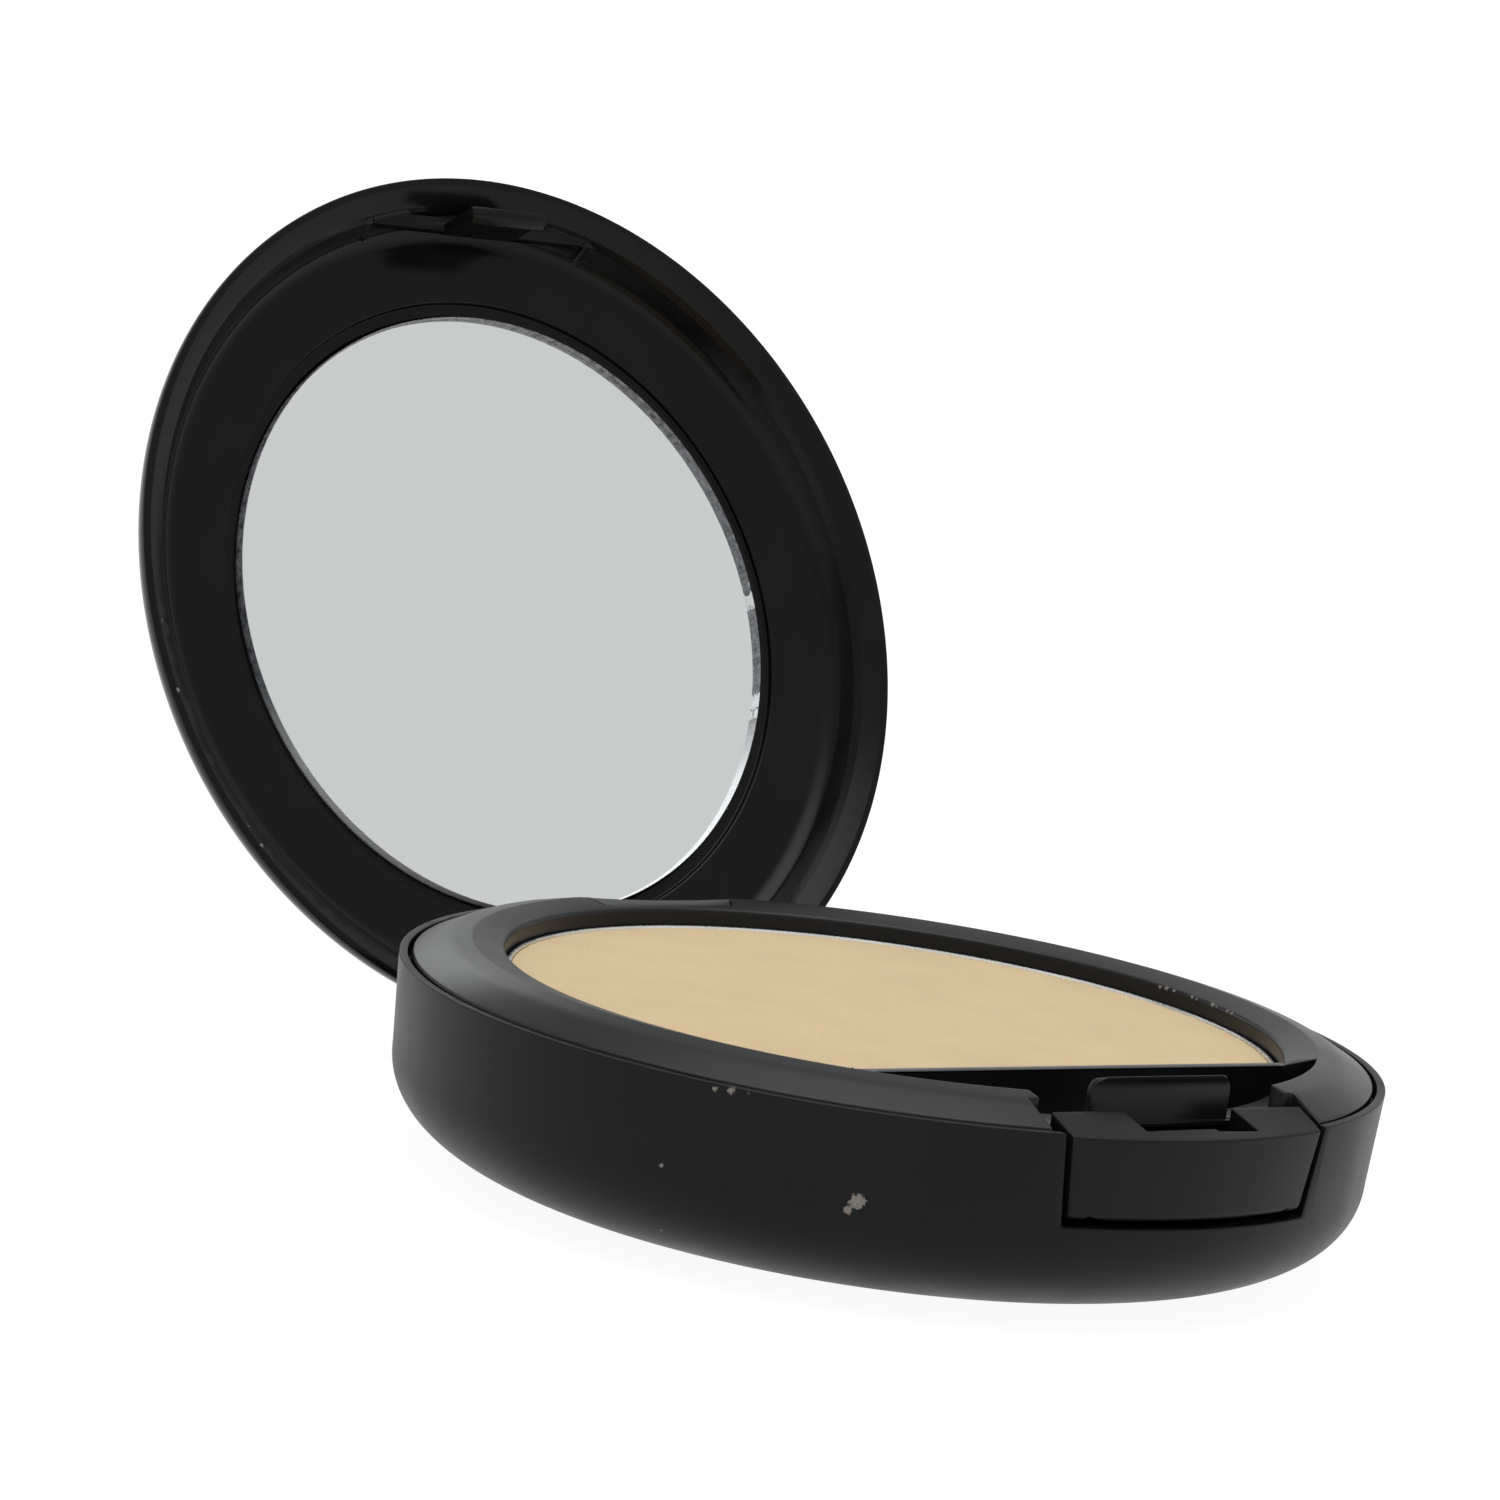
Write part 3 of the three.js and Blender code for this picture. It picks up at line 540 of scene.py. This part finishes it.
def make_base():
    rim = [
        (RIM_RADIUS, rise(0), 0.1),
        (LEDGE["lip_radius"], rise(0), 0.06),
        (LEDGE["lip_radius"], rise(-LEDGE["drop"])),
        (LEDGE["radius"], rise(-LEDGE["drop"]), 0.1),
    ]
    inside = [(r, max(z, FLOOR)) for r, z in base_curve(WALL, 24)[::-1]]
    profile = [(0, 0), *base_curve(0, 56), *rim, *inside, (0, FLOOR)]
    shell = lathe("base_tub", filleted(profile))

    envelope = lathe(
        "tool",
        [
            (0, WALL / 2), *base_curve(WALL / 2, 24),
            (LEDGE["radius"] + LEDGE["lap"], rise(-GUIDE["top_drop"])), (0, rise(-GUIDE["top_drop"])),
        ],
    )
    # The fittings start inside the floor, so that they join it.
    foundation = 1
    bulkhead_top = rise(-TRAY["bottom_drop"] - BULKHEAD["gap"])
    rail_top = rise(-BUTTON["bottom_drop"] - RAIL["gap"])
    rail_back = -BULKHEAD["back"] - BULKHEAD["lap"]
    fittings = block(
        (-BULKHEAD["half_width"], -BULKHEAD["back"] - BULKHEAD["thickness"], foundation),
        (BULKHEAD["half_width"], -BULKHEAD["back"], bulkhead_top),
    )
    reach = KNUCKLE["half_width"] + KNUCKLE["gap"]
    for side in (-1, 1):
        low_x, high_x = sorted((side * GUIDE["inner"], side * (GUIDE["inner"] + GUIDE["thickness"])))
        start = (low_x, -RIM_RADIUS, foundation)
        tall = block(start, (high_x, -GUIDE["tall_back"], rise(-GUIDE["top_drop"])))
        low = block(start, (high_x, rail_back, bulkhead_top))
        boss_x = sorted((side * reach, side * BOSS["outer"]))
        boss = block((boss_x[0], BOSS["front"], BOSS["bottom"]), (boss_x[1], RIM_RADIUS, BOSS["top"]))
        rail_x = side * RAIL["x"]
        rail = block(
            (rail_x - RAIL["half"], -RIM_RADIUS + WALL, foundation),
            (rail_x + RAIL["half"], rail_back, rail_top),
        )
        add(fittings, tall, low, boss, rail)
    add(shell, keep(fittings, envelope))

    window = prism(
        [
            (-WINDOW["bottom_half"], rise(-WINDOW["drop"])), (WINDOW["bottom_half"], rise(-WINDOW["drop"])),
            (WINDOW["top_half"], rise(0)), (WINDOW["top_half"], rise(PROUD)),
            (-WINDOW["top_half"], rise(PROUD)), (-WINDOW["top_half"], rise(0)),
        ],
        "y", -RIM_RADIUS - PROUD, -WINDOW["back"],
    )
    space = block(
        (-GUIDE["inner"], -WINDOW["space_front"], rail_top),
        (GUIDE["inner"], -GUIDE["tall_back"], rise(PROUD)),
    )
    hinge_space = block(
        (-reach, REAR_GAP["front"] - PROUD, REAR_GAP["floor"]), (reach, RIM_RADIUS + PROUD, rise(PROUD))
    )
    pin_hole = rod(
        PIN["radius"] + PIN["hole_gap"], -PIN["hole_reach"], PIN["hole_reach"], HINGE_Y, HINGE_Z
    )
    return soften(cut(shell, window, space, hinge_space, pin_hole))


def make_sponge():
    """The applicator sponge: a soft disc with rolled edges and a slight hollow on top."""
    bottom = FLOOR + SPONGE["lift"]
    top = bottom + SPONGE["thickness"]
    rolled = SPONGE["round"]
    profile = filleted(
        [
            (0, bottom), (SPONGE["radius"], bottom, rolled), (SPONGE["radius"], top, rolled),
            (SPONGE["radius"] * 0.55, top), (SPONGE["radius"] * 0.25, top - 0.25), (0, top - 0.3),
        ],
        steps=10,
    )
    sponge = lathe("applicator_sponge", profile, 144)

    def crumple(bm):
        centre = Vector((0, 0, (bottom + top) / 2 * MM))
        for vertex in bm.verts:
            pull = SPONGE["crumple"] * MM * (noise.noise(vertex.co / (SPONGE["lump"] * MM)) - 1)
            vertex.co += (vertex.co - centre).normalized() * pull

    edit(sponge, crumple)
    return smooth(sponge)


# Powder tray ------------------------------------------------------------------------------------------------


def make_tray():
    wall_outside = TRAY["opening"] + TRAY["well_wall"]
    ring = lathe(
        "powder_tray_ring",
        filleted(
            [
                (0, rise(-TRAY["bottom_drop"])),
                (wall_outside, rise(-TRAY["bottom_drop"]), 0.8),
                (wall_outside, rise(-TRAY["edge_drop"]), 0.3),
                (TRAY["radius"], rise(-TRAY["edge_drop"]), 0.15),
                (TRAY["radius"], rise(TRAY["edge_rise"]), 0.3),
                (TRAY["bend"], rise(TRAY["bend_rise"]), 4.5),
                (TRAY["ridge"], rise(TRAY["ridge_rise"]), 0.8),
                (TRAY["opening"], rise(TRAY["opening_rise"]), 0.4),
                (TRAY["opening"], rise(-TRAY["well_drop"]), 0.3),
                (0, rise(-TRAY["well_drop"])),
            ]
        ),
    )
    plug_bottom = rise(-TRAY["well_drop"] - LAP)
    crest_back = -TRAY["crest_front"] + TRAY["crest_width"]
    before_crest = ((-BEYOND, -BEYOND, 0), (BEYOND, -TRAY["crest_front"], BEYOND))
    crest = disc(TRAY["channel_radius"] + LAP, rise(-TRAY["edge_drop"]), rise(TRAY["opening_rise"]))
    add(crest, disc(TRAY["opening"] + LAP, plug_bottom, rise(TRAY["opening_rise"])))
    keep(crest, block((-BEYOND, -TRAY["crest_front"], 0), (BEYOND, crest_back, BEYOND)))
    channel_floor = disc(TRAY["opening"] + LAP, plug_bottom, rise(-TRAY["channel_drop"]))
    keep(channel_floor, block(*before_crest))
    ledge = keep(disc(TRAY["channel_radius"], rise(-TRAY["channel_step"]), BEYOND), block(*before_crest))
    add(cut(ring, ledge), crest, channel_floor)

    notch = block(
        (-NOTCH["half_width"], -BEYOND, rise(-NOTCH["drop"])), (NOTCH["half_width"], -NOTCH["back"], BEYOND)
    )
    sill = block(
        (-TRAY["sill_half"], -BEYOND, rise(-TRAY["channel_step"])),
        (TRAY["sill_half"], -TRAY["sill_back"], BEYOND),
    )
    keeper_reach = KEEPER["half_width"] + KEEPER["side_room"]
    keeper_back = -KEEPER["back"] + BUTTON_TRAVEL + KEEPER["back_room"]
    keeper_relief = block(
        (-keeper_reach, -BEYOND, 0), (keeper_reach, keeper_back, rise(-TRAY["relief_drop"]))
    )
    reach = KNUCKLE["half_width"] + KNUCKLE["gap"]
    hinge_notch = block((-reach, REAR_GAP["front"], 0), (reach, BEYOND, BEYOND))
    boss_reach = BOSS["outer"] + BOSS["side_room"]
    pin_relief = block(
        (-boss_reach, BOSS["front"] - BOSS["front_room"], 0), (boss_reach, BEYOND, rise(-TRAY["boss_drop"]))
    )
    cut(ring, notch, sill, keeper_relief, hinge_notch, pin_relief)

    half, corner = LIFT_TAB["half_width"], LIFT_TAB["corner"]
    tab_outline = filleted(
        [
            (-half, rise(-LIFT_TAB["root"])), (half, rise(-LIFT_TAB["root"])),
            (half, rise(LIFT_TAB["rise"]), corner), (-half, rise(LIFT_TAB["rise"]), corner),
        ],
        closed=True,
    )
    tab = prism(
        [
            (-LIFT_TAB["face"], rise(-LIFT_TAB["root"])), (-LIFT_TAB["back"], rise(-LIFT_TAB["root"])),
            (-LIFT_TAB["back"], rise(LIFT_TAB["back_rise"])), (-LIFT_TAB["front"], rise(LIFT_TAB["rise"])),
            (-LIFT_TAB["face"], rise(LIFT_TAB["lip_rise"])),
        ],
        "x", -half, half,
    )
    tab_front, tab_back = -LIFT_TAB["front"] - PROUD, -LIFT_TAB["back"] + PROUD
    add(ring, keep(tab, prism(tab_outline, "y", tab_front, tab_back)))
    return soften(ring)


def d_outline(radius, front, corner, steps=180, corner_steps=8):
    """The D of the powder well. Its corners are arcs that touch both the circle and the straight front."""
    across = math.sqrt((radius - corner) ** 2 - (front - corner) ** 2)
    lean = math.atan2(-(front - corner), across)
    outline = []
    for a in np.linspace(-math.pi / 2, lean, corner_steps):
        outline.append((across + corner * math.cos(a), -(front - corner) + corner * math.sin(a)))
    for a in np.linspace(lean, math.pi - lean, steps)[1:-1]:
        outline.append((radius * math.cos(a), radius * math.sin(a)))
    for a in np.linspace(math.pi - lean, 1.5 * math.pi, corner_steps):
        outline.append((-across + corner * math.cos(a), -(front - corner) + corner * math.sin(a)))
    return outline


def make_pan():
    sheet = PAN["sheet"]
    outside = d_outline(PAN["radius"], PAN["front"], PAN["corner"])
    inside = d_outline(PAN["radius"] - sheet, PAN["front"] - sheet, PAN["corner"] - sheet)
    pan = prism(outside, "z", rise(-PAN["floor_drop"]), rise(-PAN["rim_drop"]), "powder_pan_sheet")
    cut(pan, prism(inside, "z", rise(-PAN["floor_drop"] + sheet), rise(PROUD)))
    return soften(pan, 0.06)


def make_cake():
    """The cake of powder: a D with a soft edge, very slightly crowned, with an uneven pressed face."""
    inset = PAN["sheet"] + CAKE["gap"]
    bottom = rise(-PAN["floor_drop"]) + inset
    top = rise(-CAKE["drop"])
    radius, front, corner = PAN["radius"] - inset, PAN["front"] - inset, PAN["corner"] - inset
    soft_edge = [(0.0, bottom), (0.0, top - 0.16), (0.05, top - 0.06), (0.16, top - 0.01), (0.45, top)]
    loops = []
    for step_in, z in soft_edge:
        outline = d_outline(radius - step_in, front - step_in, max(corner - step_in, 0.3))
        loops.append([(x, y, z) for x, y in outline])
    middle = np.array([0, (radius - front) / 2, 0])
    rings = 60
    face = np.array(loops[-1])
    for step in range(1, rings):
        share = 1 - step / rings
        loops.append([tuple(p) for p in middle * (1 - share) + face * share + [0, 0, top * (1 - share)]])
    count = len(face)
    vertices = [p for loop in loops for p in loop] + [(0, middle[1], top)]
    last = len(vertices) - 1
    faces = [tuple(range(count))]
    for row in range(len(loops) - 1):
        for k in range(count):
            after = (k + 1) % count
            first = row * count
            faces.append((first + k, first + after, first + count + after, first + count + k))
    faces += [(last - count + k, last - count + (k + 1) % count, last) for k in range(count)]
    cake = new_piece("powder_cake", vertices, faces)

    def press(bm):
        for vertex in bm.verts:
            if vertex.co.z > (top - CAKE["waviness"]) * MM:
                ripple = noise.noise(vertex.co / (CAKE["ripple"] * MM)) - 1
                vertex.co.z += CAKE["waviness"] * MM * ripple

    edit(cake, press)
    return smooth(cake)


# Push button ------------------------------------------------------------------------------------------------


def under_button_top(half_width=13.2, reach=41.5, columns=64, rows=10):
    """Everything under the button's top: a straight back edge that falls to the rim's arc in front."""
    front_radius = RIM_RADIUS - BUTTON["recess"]
    vertices, faces = [], []
    for row in range(rows + 3):
        for column in range(columns + 1):
            x = half_width * (2 * column / columns - 1)
            front = math.sqrt(front_radius**2 - x**2)
            share = min(max(row - 1, 0) / rows, 1)
            y = BUTTON["back"] + (front - BUTTON["back"]) * share
            if row == 0:
                y = BUTTON["back"] - 3
            if row == rows + 2:
                y = reach
            height = BUTTON["back_rise"] + (BUTTON["front_rise"] - BUTTON["back_rise"]) * share
            vertices.append((x, -y, rise(height)))
    width = columns + 1
    count = len(vertices)
    vertices += [(x, y, 0) for x, y, _ in vertices]
    for row in range(rows + 2):
        for column in range(columns):
            k = row * width + column
            faces.append((k, k + 1, k + width + 1, k + width))
            faces.append((count + k, count + k + 1, count + k + width + 1, count + k + width))
    border = [*range(width), *range(2 * width - 1, count, width), *range(count - 2, count - width - 1, -1)]
    border += [*range(count - 2 * width, 0, -width)]
    for k, after in zip(border, border[1:] + border[:1]):
        faces.append((k, after, count + after, count + k))
    return new_piece("tool", vertices, faces)


def make_button():
    face = FOOT["shoulder_radius"] - BUTTON["recess"]
    outer = RIM_RADIUS - BUTTON["recess"]
    blank_top = rise(BUTTON["blank_rise"])
    button = lathe(
        "push_button_moulding",
        filleted(
            [
                (0, rise(-BUTTON["bottom_drop"])), (face - 0.05, rise(-BUTTON["bottom_drop"]), 0.7),
                (outer, rise(-0.35)), (outer, blank_top), (0, blank_top),
            ]
        ),
        512,
    )
    top, bottom = BUTTON["top_half"], BUTTON["bottom_half"]
    wedge = filleted(
        [
            (-bottom, rise(-BUTTON["bottom_drop"]), 0.5), (bottom, rise(-BUTTON["bottom_drop"]), 0.5),
            (top, rise(0)), (top, blank_top), (-top, blank_top), (-top, rise(0)),
        ],
        closed=True,
    )
    keep(button, prism(wedge, "y", -RIM_RADIUS - PROUD, -BUTTON["back"]), under_button_top())

    half = SLOT["half_width"]
    slot_end = (half, -BUTTON["back"] + PROUD, BEYOND)
    shallow = block((-half, -SLOT["front"], rise(-SLOT["drop"])), slot_end)
    deep = block((-half, -SLOT["deep_front"], rise(-SLOT["deep_drop"])), slot_end)
    hole = block((SLOT["hole_left"], -SLOT["hole_front"], rise(-SLOT["deep_drop"])), slot_end)
    hollow = block(
        (-bottom + BUTTON["shell"], -SLOT["front"], rise(-BUTTON["bottom_drop"] - PROUD)),
        (bottom - BUTTON["shell"], -BUTTON["plate_front"], rise(-BUTTON["plate_top_drop"])),
    )
    cut(button, shallow, deep, hole, hollow)

    plate = block(
        (-BUTTON["plate_half"], -BUTTON["plate_front"], rise(-BUTTON["bottom_drop"])),
        (BUTTON["plate_half"], -BUTTON["plate_back"], rise(-BUTTON["plate_top_drop"])),
    )
    bar = block(
        (-KEEPER["half_width"], -KEEPER["front"], rise(-KEEPER["bottom"])),
        (KEEPER["half_width"], -KEEPER["back"], rise(-KEEPER["top"])),
    )
    add(button, plate, bar)
    for side in (-1, 1):
        x = side * SPRING["x"]
        pad_half = SPRING["pad_half"]
        pad = block(
            (x - pad_half, -BUTTON["plate_back"] - SPRING["pad_depth"], rise(-SPRING["drop"] - pad_half)),
            (x + pad_half, -BUTTON["plate_back"], rise(-BUTTON["plate_top_drop"])),
        )
        low_x, high_x = sorted((side * (half + KEEPER["arm_gap"]), side * KEEPER["half_width"]))
        arm = block(
            (low_x, -BUTTON["back"] - PROUD, rise(-KEEPER["bottom"])),
            (high_x, -KEEPER["back"], rise(-KEEPER["top"])),
        )
        add(button, pad, arm)
    return soften(button, 0.14, 3)


def make_spring(name, x):
    """A coil spring of round wire along Y, from the button's plate to the bulkhead, with closed ends."""
    start = -BUTTON["plate_back"] + SPRING["gap"] + SPRING["wire"] / 2
    end = -BULKHEAD["back"] - BULKHEAD["thickness"] - SPRING["gap"] - SPRING["wire"] / 2
    around, per_turn = 12, 40
    steps = SPRING["turns"] * per_turn
    vertices, faces = [], []
    for step in range(steps + 1):
        angle = 2 * math.pi * step / per_turn
        outward = Vector((math.cos(angle), 0, math.sin(angle)))
        centre = Vector((x, start + (end - start) * step / steps, rise(-SPRING["drop"])))
        centre += outward * SPRING["radius"]
        for k in range(around):
            roll = 2 * math.pi * k / around
            offset = outward * math.cos(roll) + Vector((0, 1, 0)) * math.sin(roll)
            vertices.append(centre + offset * SPRING["wire"] / 2)
    for step in range(steps):
        for k in range(around):
            after = (k + 1) % around
            low, high = step * around, (step + 1) * around
            faces.append((low + k, low + after, high + after, high + k))
    faces += [tuple(range(around)), tuple(range(steps * around, (steps + 1) * around))]
    return smooth(new_piece(name, vertices, faces))


def make_pin(name, cad_node):
    """A steel hinge pin with chamfered ends."""
    low, high = (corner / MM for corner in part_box(cad_node))
    return soften(rod(PIN["radius"], low.x, high.x, HINGE_Y, HINGE_Z, name, 64), 0.15)


# Lid --------------------------------------------------------------------------------------------------------


def make_lid():
    bottom = LID["rest_gap"]
    dome = superellipse(
        LID["radius"], LID["shoulder"], rise(LID["side_rise"]), rise(LID["shoulder_rise"]), LID["power"], 48
    )
    crown = []
    for share in np.linspace(0.1, 1, 24):
        radius = LID["shoulder"] * (1 - share)
        fall = (LID["crown_rise"] - LID["shoulder_rise"]) * (radius / LID["shoulder"]) ** 2
        crown.append((radius, rise(LID["crown_rise"] - fall)))
    inside = [
        (0, rise(LID["pocket_rise"])),
        (LID["groove_inner"], rise(LID["pocket_rise"])),
        (LID["groove_inner"], rise(LID["groove_rise"]), 0.1),
        (LID["groove_outer"], rise(LID["groove_rise"]), 0.2),
        (LID["groove_outer"], rise(LID["floor_rise"]), 0.2),
        (LID["floor_outer"], rise(LID["floor_rise"]), 2.4),
        (LID["wall_foot"], rise(LID["wall_foot_rise"]), 0.8),
        (LID["flange_inner"], rise(LID["flange_rise"]), 0.3),
        (LID["flange_flat"], rise(bottom), 0.2),
        (LID["radius"], rise(bottom), 0.3),
    ]
    lid = lathe("lid_dome", filleted([*inside, *dome, *crown]))

    web = block(
        (-KNUCKLE["half_width"], KNUCKLE["inner"], HINGE_Z),
        (KNUCKLE["half_width"], KNUCKLE["outer"], rise(LID["side_rise"])),
    )
    keep(web, disc(KNUCKLE["outer"], 0, rise(LID["side_rise"])))
    barrel = rod(KNUCKLE["barrel"], -KNUCKLE["half_width"], KNUCKLE["half_width"], HINGE_Y, HINGE_Z)

    rib_outline = [
        (-CATCH_RIB["foot"], rise(CATCH_RIB["foot_rise"])), (-CATCH_BAR["back"], rise(CATCH_BAR["bottom"])),
        (-CATCH_RIB["inner"], rise(LID["floor_rise"] + CATCH_RIB["lap"])),
        (-CATCH_RIB["foot"], rise(LID["floor_rise"] + CATCH_RIB["lap"])),
    ]
    bar = block(
        (-CATCH_BAR["half_span"], -CATCH_BAR["front"], rise(CATCH_BAR["bottom"])),
        (CATCH_BAR["half_span"], -CATCH_BAR["back"], rise(CATCH_BAR["top"])),
    )
    for side in (-1, 1):
        x = side * CATCH_RIB["x"]
        half = CATCH_RIB["thickness"] / 2
        add(bar, prism(rib_outline, "x", x - half, x + half))
    foot_inside = rise(bottom + 0.01)
    keep(bar, lathe("tool", [(0, foot_inside), (LID["radius"] - 0.5, foot_inside), *dome[4:], *crown]))
    add(lid, bar)
    foot = rise(-CATCH_TAB["drop"])
    tab = prism(
        [
            (-CATCH_TAB["front"], foot), (-CATCH_TAB["back"], foot),
            (-CATCH_TAB["back"] + CATCH_TAB["tooth"], foot + CATCH_TAB["tooth_height"]),
            (-CATCH_TAB["back"], foot + CATCH_TAB["tooth_height"]),
            (-CATCH_TAB["back"], rise(CATCH_BAR["top"])), (-CATCH_TAB["front"], rise(CATCH_BAR["top"])),
        ],
        "x", -CATCH_TAB["half_width"], CATCH_TAB["half_width"],
    )
    add(lid, tab, web, barrel)
    pin_hole = rod(
        PIN["radius"] + PIN["lid_hole_gap"], -PIN["hole_reach"], PIN["hole_reach"], HINGE_Y, HINGE_Z
    )
    cut(lid, pin_hole)
    return swung_open(soften(lid))


def make_mirror(silver_material, edge_material):
    """The mirror, seen as its silver set back behind the glass's cut edge."""
    front = rise(MIRROR["face_rise"])
    back = front + MIRROR["thickness"]
    inner = MIRROR["radius"] - MIRROR["edge"]
    silver = front + MIRROR["silver_depth"]
    profile = [
        (0, silver), (inner - 0.05, silver), (inner, silver - 0.05), (inner + 0.04, front + 0.04),
        (MIRROR["radius"] - 0.03, front), (MIRROR["radius"], front + 0.03), (MIRROR["radius"], back),
        (0, back),
    ]
    mirror = lathe("mirror_disc", profile)
    mirror.data.materials.append(silver_material)
    mirror.data.materials.append(edge_material)
    for polygon in mirror.data.polygons:
        if polygon.center.z < (silver - 0.02) * MM:
            polygon.material_index = 1
    return swung_open(smooth(mirror, 30))


# Assembly ---------------------------------------------------------------------------------------------------

# Small scuffs on the plastic, as (x, y, z, radius).
BASE_SCUFFS = [
    (-25.4, -30.3, 8.8, 0.62), (-25.9, -29.9, 8.0, 0.34), (-33.5, -22.0, 15.2, 0.26),
    (-32.6, -22.9, 15.3, 0.34), (-31.8, -23.9, 15.4, 0.22), (-34.9, -18.7, 8.6, 0.2),
    (-33.0, -17.3, 3.2, 0.15), (-36.3, -14.6, 10.9, 0.12),
]
TRAY_SCUFFS = [
    (31.43, 3.3, 16.8, 0.22), (31.5, 2.6, 16.8, 0.25), (31.56, 1.7, 16.8, 0.22), (31.6, -0.6, 16.8, 0.26),
    (31.56, -1.2, 16.8, 0.2), (31.5, -3.4, 16.8, 0.26), (31.36, -4.0, 16.8, 0.2), (31.16, -5.6, 16.8, 0.2),
    (30.98, -6.4, 16.8, 0.22),
]
LID_SCUFFS = [
    (-38.34, 56.59, 35.9, 0.28), (-37.42, 54.62, 31.83, 0.2), (-37.81, 53.93, 30.4, 0.24),
    (-34.31, 51.13, 24.6, 0.26), (-33.74, 50.38, 23.05, 0.2), (-32.21, 48.87, 19.94, 0.22),
    (-31.24, 48.12, 18.39, 0.26),
]
MIRROR_SPECKS = [(-5.57, 57.74, 28.64, 0.3), (-4.43, 57.96, 29.08, 0.22)]
GLASS_CHIPS = [
    (27.4, 62.9, 39.5, 0.8), (27.2, 63.1, 41.0, 0.5), (26.7, 58.7, 30.8, 0.8), (26.6, 58.0, 29.6, 0.6),
]

base_black = black_plastic("black_plastic_base", BASE_SCUFFS)
# The tray's shade is a little lighter and bluer than the other black parts: a painted bluish sheen in place
# of a tinted reflection.
tray_black = black_plastic("black_plastic_tray", TRAY_SCUFFS, 0.3, 0.36, 0.22, (0.0042, 0.0045, 0.0054))
button_black = black_plastic("black_plastic_button")
lid_black = black_plastic("black_plastic_lid", LID_SCUFFS, 0.15, 0.2, 0.14)
steel = sheet_metal("drawn_steel", (0.56, 0.57, 0.58))
aluminium = sheet_metal("pressed_aluminium", (0.86, 0.86, 0.85))
glue = soft_glue()

stand(make_base(), "base", base_black, "black_plastic", "base_shell")
sponge = stand(make_sponge(), "base", foam(), "sponge_foam", "sponge_pad")
stand(make_tray(), "base", tray_black, "black_plastic", "powder_tray")
stand(make_pan(), "base", aluminium, "pan_metal", "powder_pan")
stand(make_cake(), "base", pressed_powder_material(), "powder", "pressed_powder")
stand(make_button(), "push_button", button_black, "black_plastic", "latch_button")
stand(make_lid(), "lid", lid_black, "black_plastic", "lid_shell")

mirror = make_mirror(silvered_glass(MIRROR_SPECKS), cut_glass(GLASS_CHIPS))
stand(mirror, "lid", None, "mirror_glass", "lid_mirror")

for side, name in ((-1, "left"), (1, "right")):
    pin = f"hinge_pin_{name}"
    stand(make_pin(f"{pin}_steel", pin), "base", steel, "pin_steel", pin)
    spring = make_spring(f"latch_spring_{name}_coil", side * SPRING["x"])
    spring.data.materials.append(steel)
    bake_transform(spring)
    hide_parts(f"latch_spring_{name}")

for name in ("pan_adhesive", "mirror_adhesive"):
    frame["nodes"][name].data.materials.clear()
    frame["nodes"][name].data.materials.append(glue)

# Stage ------------------------------------------------------------------------------------------------------


FLOOR_REACH = 4000


def make_floor():
    corners = [(-1, -1), (1, -1), (1, 1), (-1, 1)]
    vertices = [(FLOOR_REACH * x, FLOOR_REACH * y, 0) for x, y in corners]
    floor = new_piece("studio_floor", vertices, [(0, 1, 2, 3)])
    material, _, shader = new_material("studio_floor", Roughness=0.85, Specular_IOR_Level=0.2)
    shader.inputs["Base Color"].default_value = (0.12, 0.12, 0.12, 1)
    shader.inputs["Emission Color"].default_value = (1, 1, 1, 1)
    shader.inputs["Emission Strength"].default_value = 0.93
    floor.data.materials.append(material)


def make_sky():
    """An even white studio round the object, greyer part of the way up and bright overhead."""
    world = bpy.data.worlds.new("studio")
    bpy.context.scene.world = world
    world.use_nodes = True
    tree = world.node_tree
    direction = node(tree, "ShaderNodeTexCoord").outputs["Generated"]
    height = node(tree, "ShaderNodeSeparateXYZ", {0: direction}).outputs["Z"]
    low_glow = ranged(tree, height, 0.95, 0.64, 0.0, 0.35)
    glow = maths(tree, "ADD", low_glow, ranged(tree, height, 0.0, 2.7, 0.8, 0.97))
    seen = node(tree, "ShaderNodeLightPath").outputs["Is Camera Ray"]
    background = tree.nodes["Background"]
    tree.links.new(maths(tree, "MAXIMUM", glow, seen), background.inputs["Strength"])
    background.inputs["Color"].default_value = (1, 1, 1, 1)


def make_sun(strength, azimuth, elevation, spread):
    """A wide soft light, its angles in degrees. Azimuth 0 comes from the button's side and 90 from +X."""
    light = bpy.data.lights.new("studio_light", "SUN")
    light.energy = strength
    light.angle = math.radians(spread)
    lamp = bpy.data.objects.new("studio_light", light)
    bpy.context.scene.collection.objects.link(lamp)
    turn, lift = math.radians(azimuth), math.radians(elevation)
    source = Vector((math.sin(turn) * math.cos(lift), -math.cos(turn) * math.cos(lift), math.sin(lift)))
    lamp.rotation_euler = source.to_track_quat("Z", "Y").to_euler()


def make_camera():
    camera = bpy.data.cameras.new("camera")
    camera.lens = 118.18
    camera.sensor_width = 36
    camera.clip_start = 0.01
    camera.clip_end = 20
    shot = bpy.data.objects.new("camera", camera)
    bpy.context.scene.collection.objects.link(shot)
    shot.location = Vector((-247.72, -302.45, 90.39)) * MM
    shot.rotation_euler = [math.radians(angle) for angle in (81.850, -7.950, -36.091)]
    bpy.context.scene.camera = shot


make_floor()
make_sky()
make_sun(0.12, -20, 62, 70)
make_camera()
bpy.context.scene.view_settings.view_transform = "Standard"
bpy.context.scene.cycles.use_denoising = True
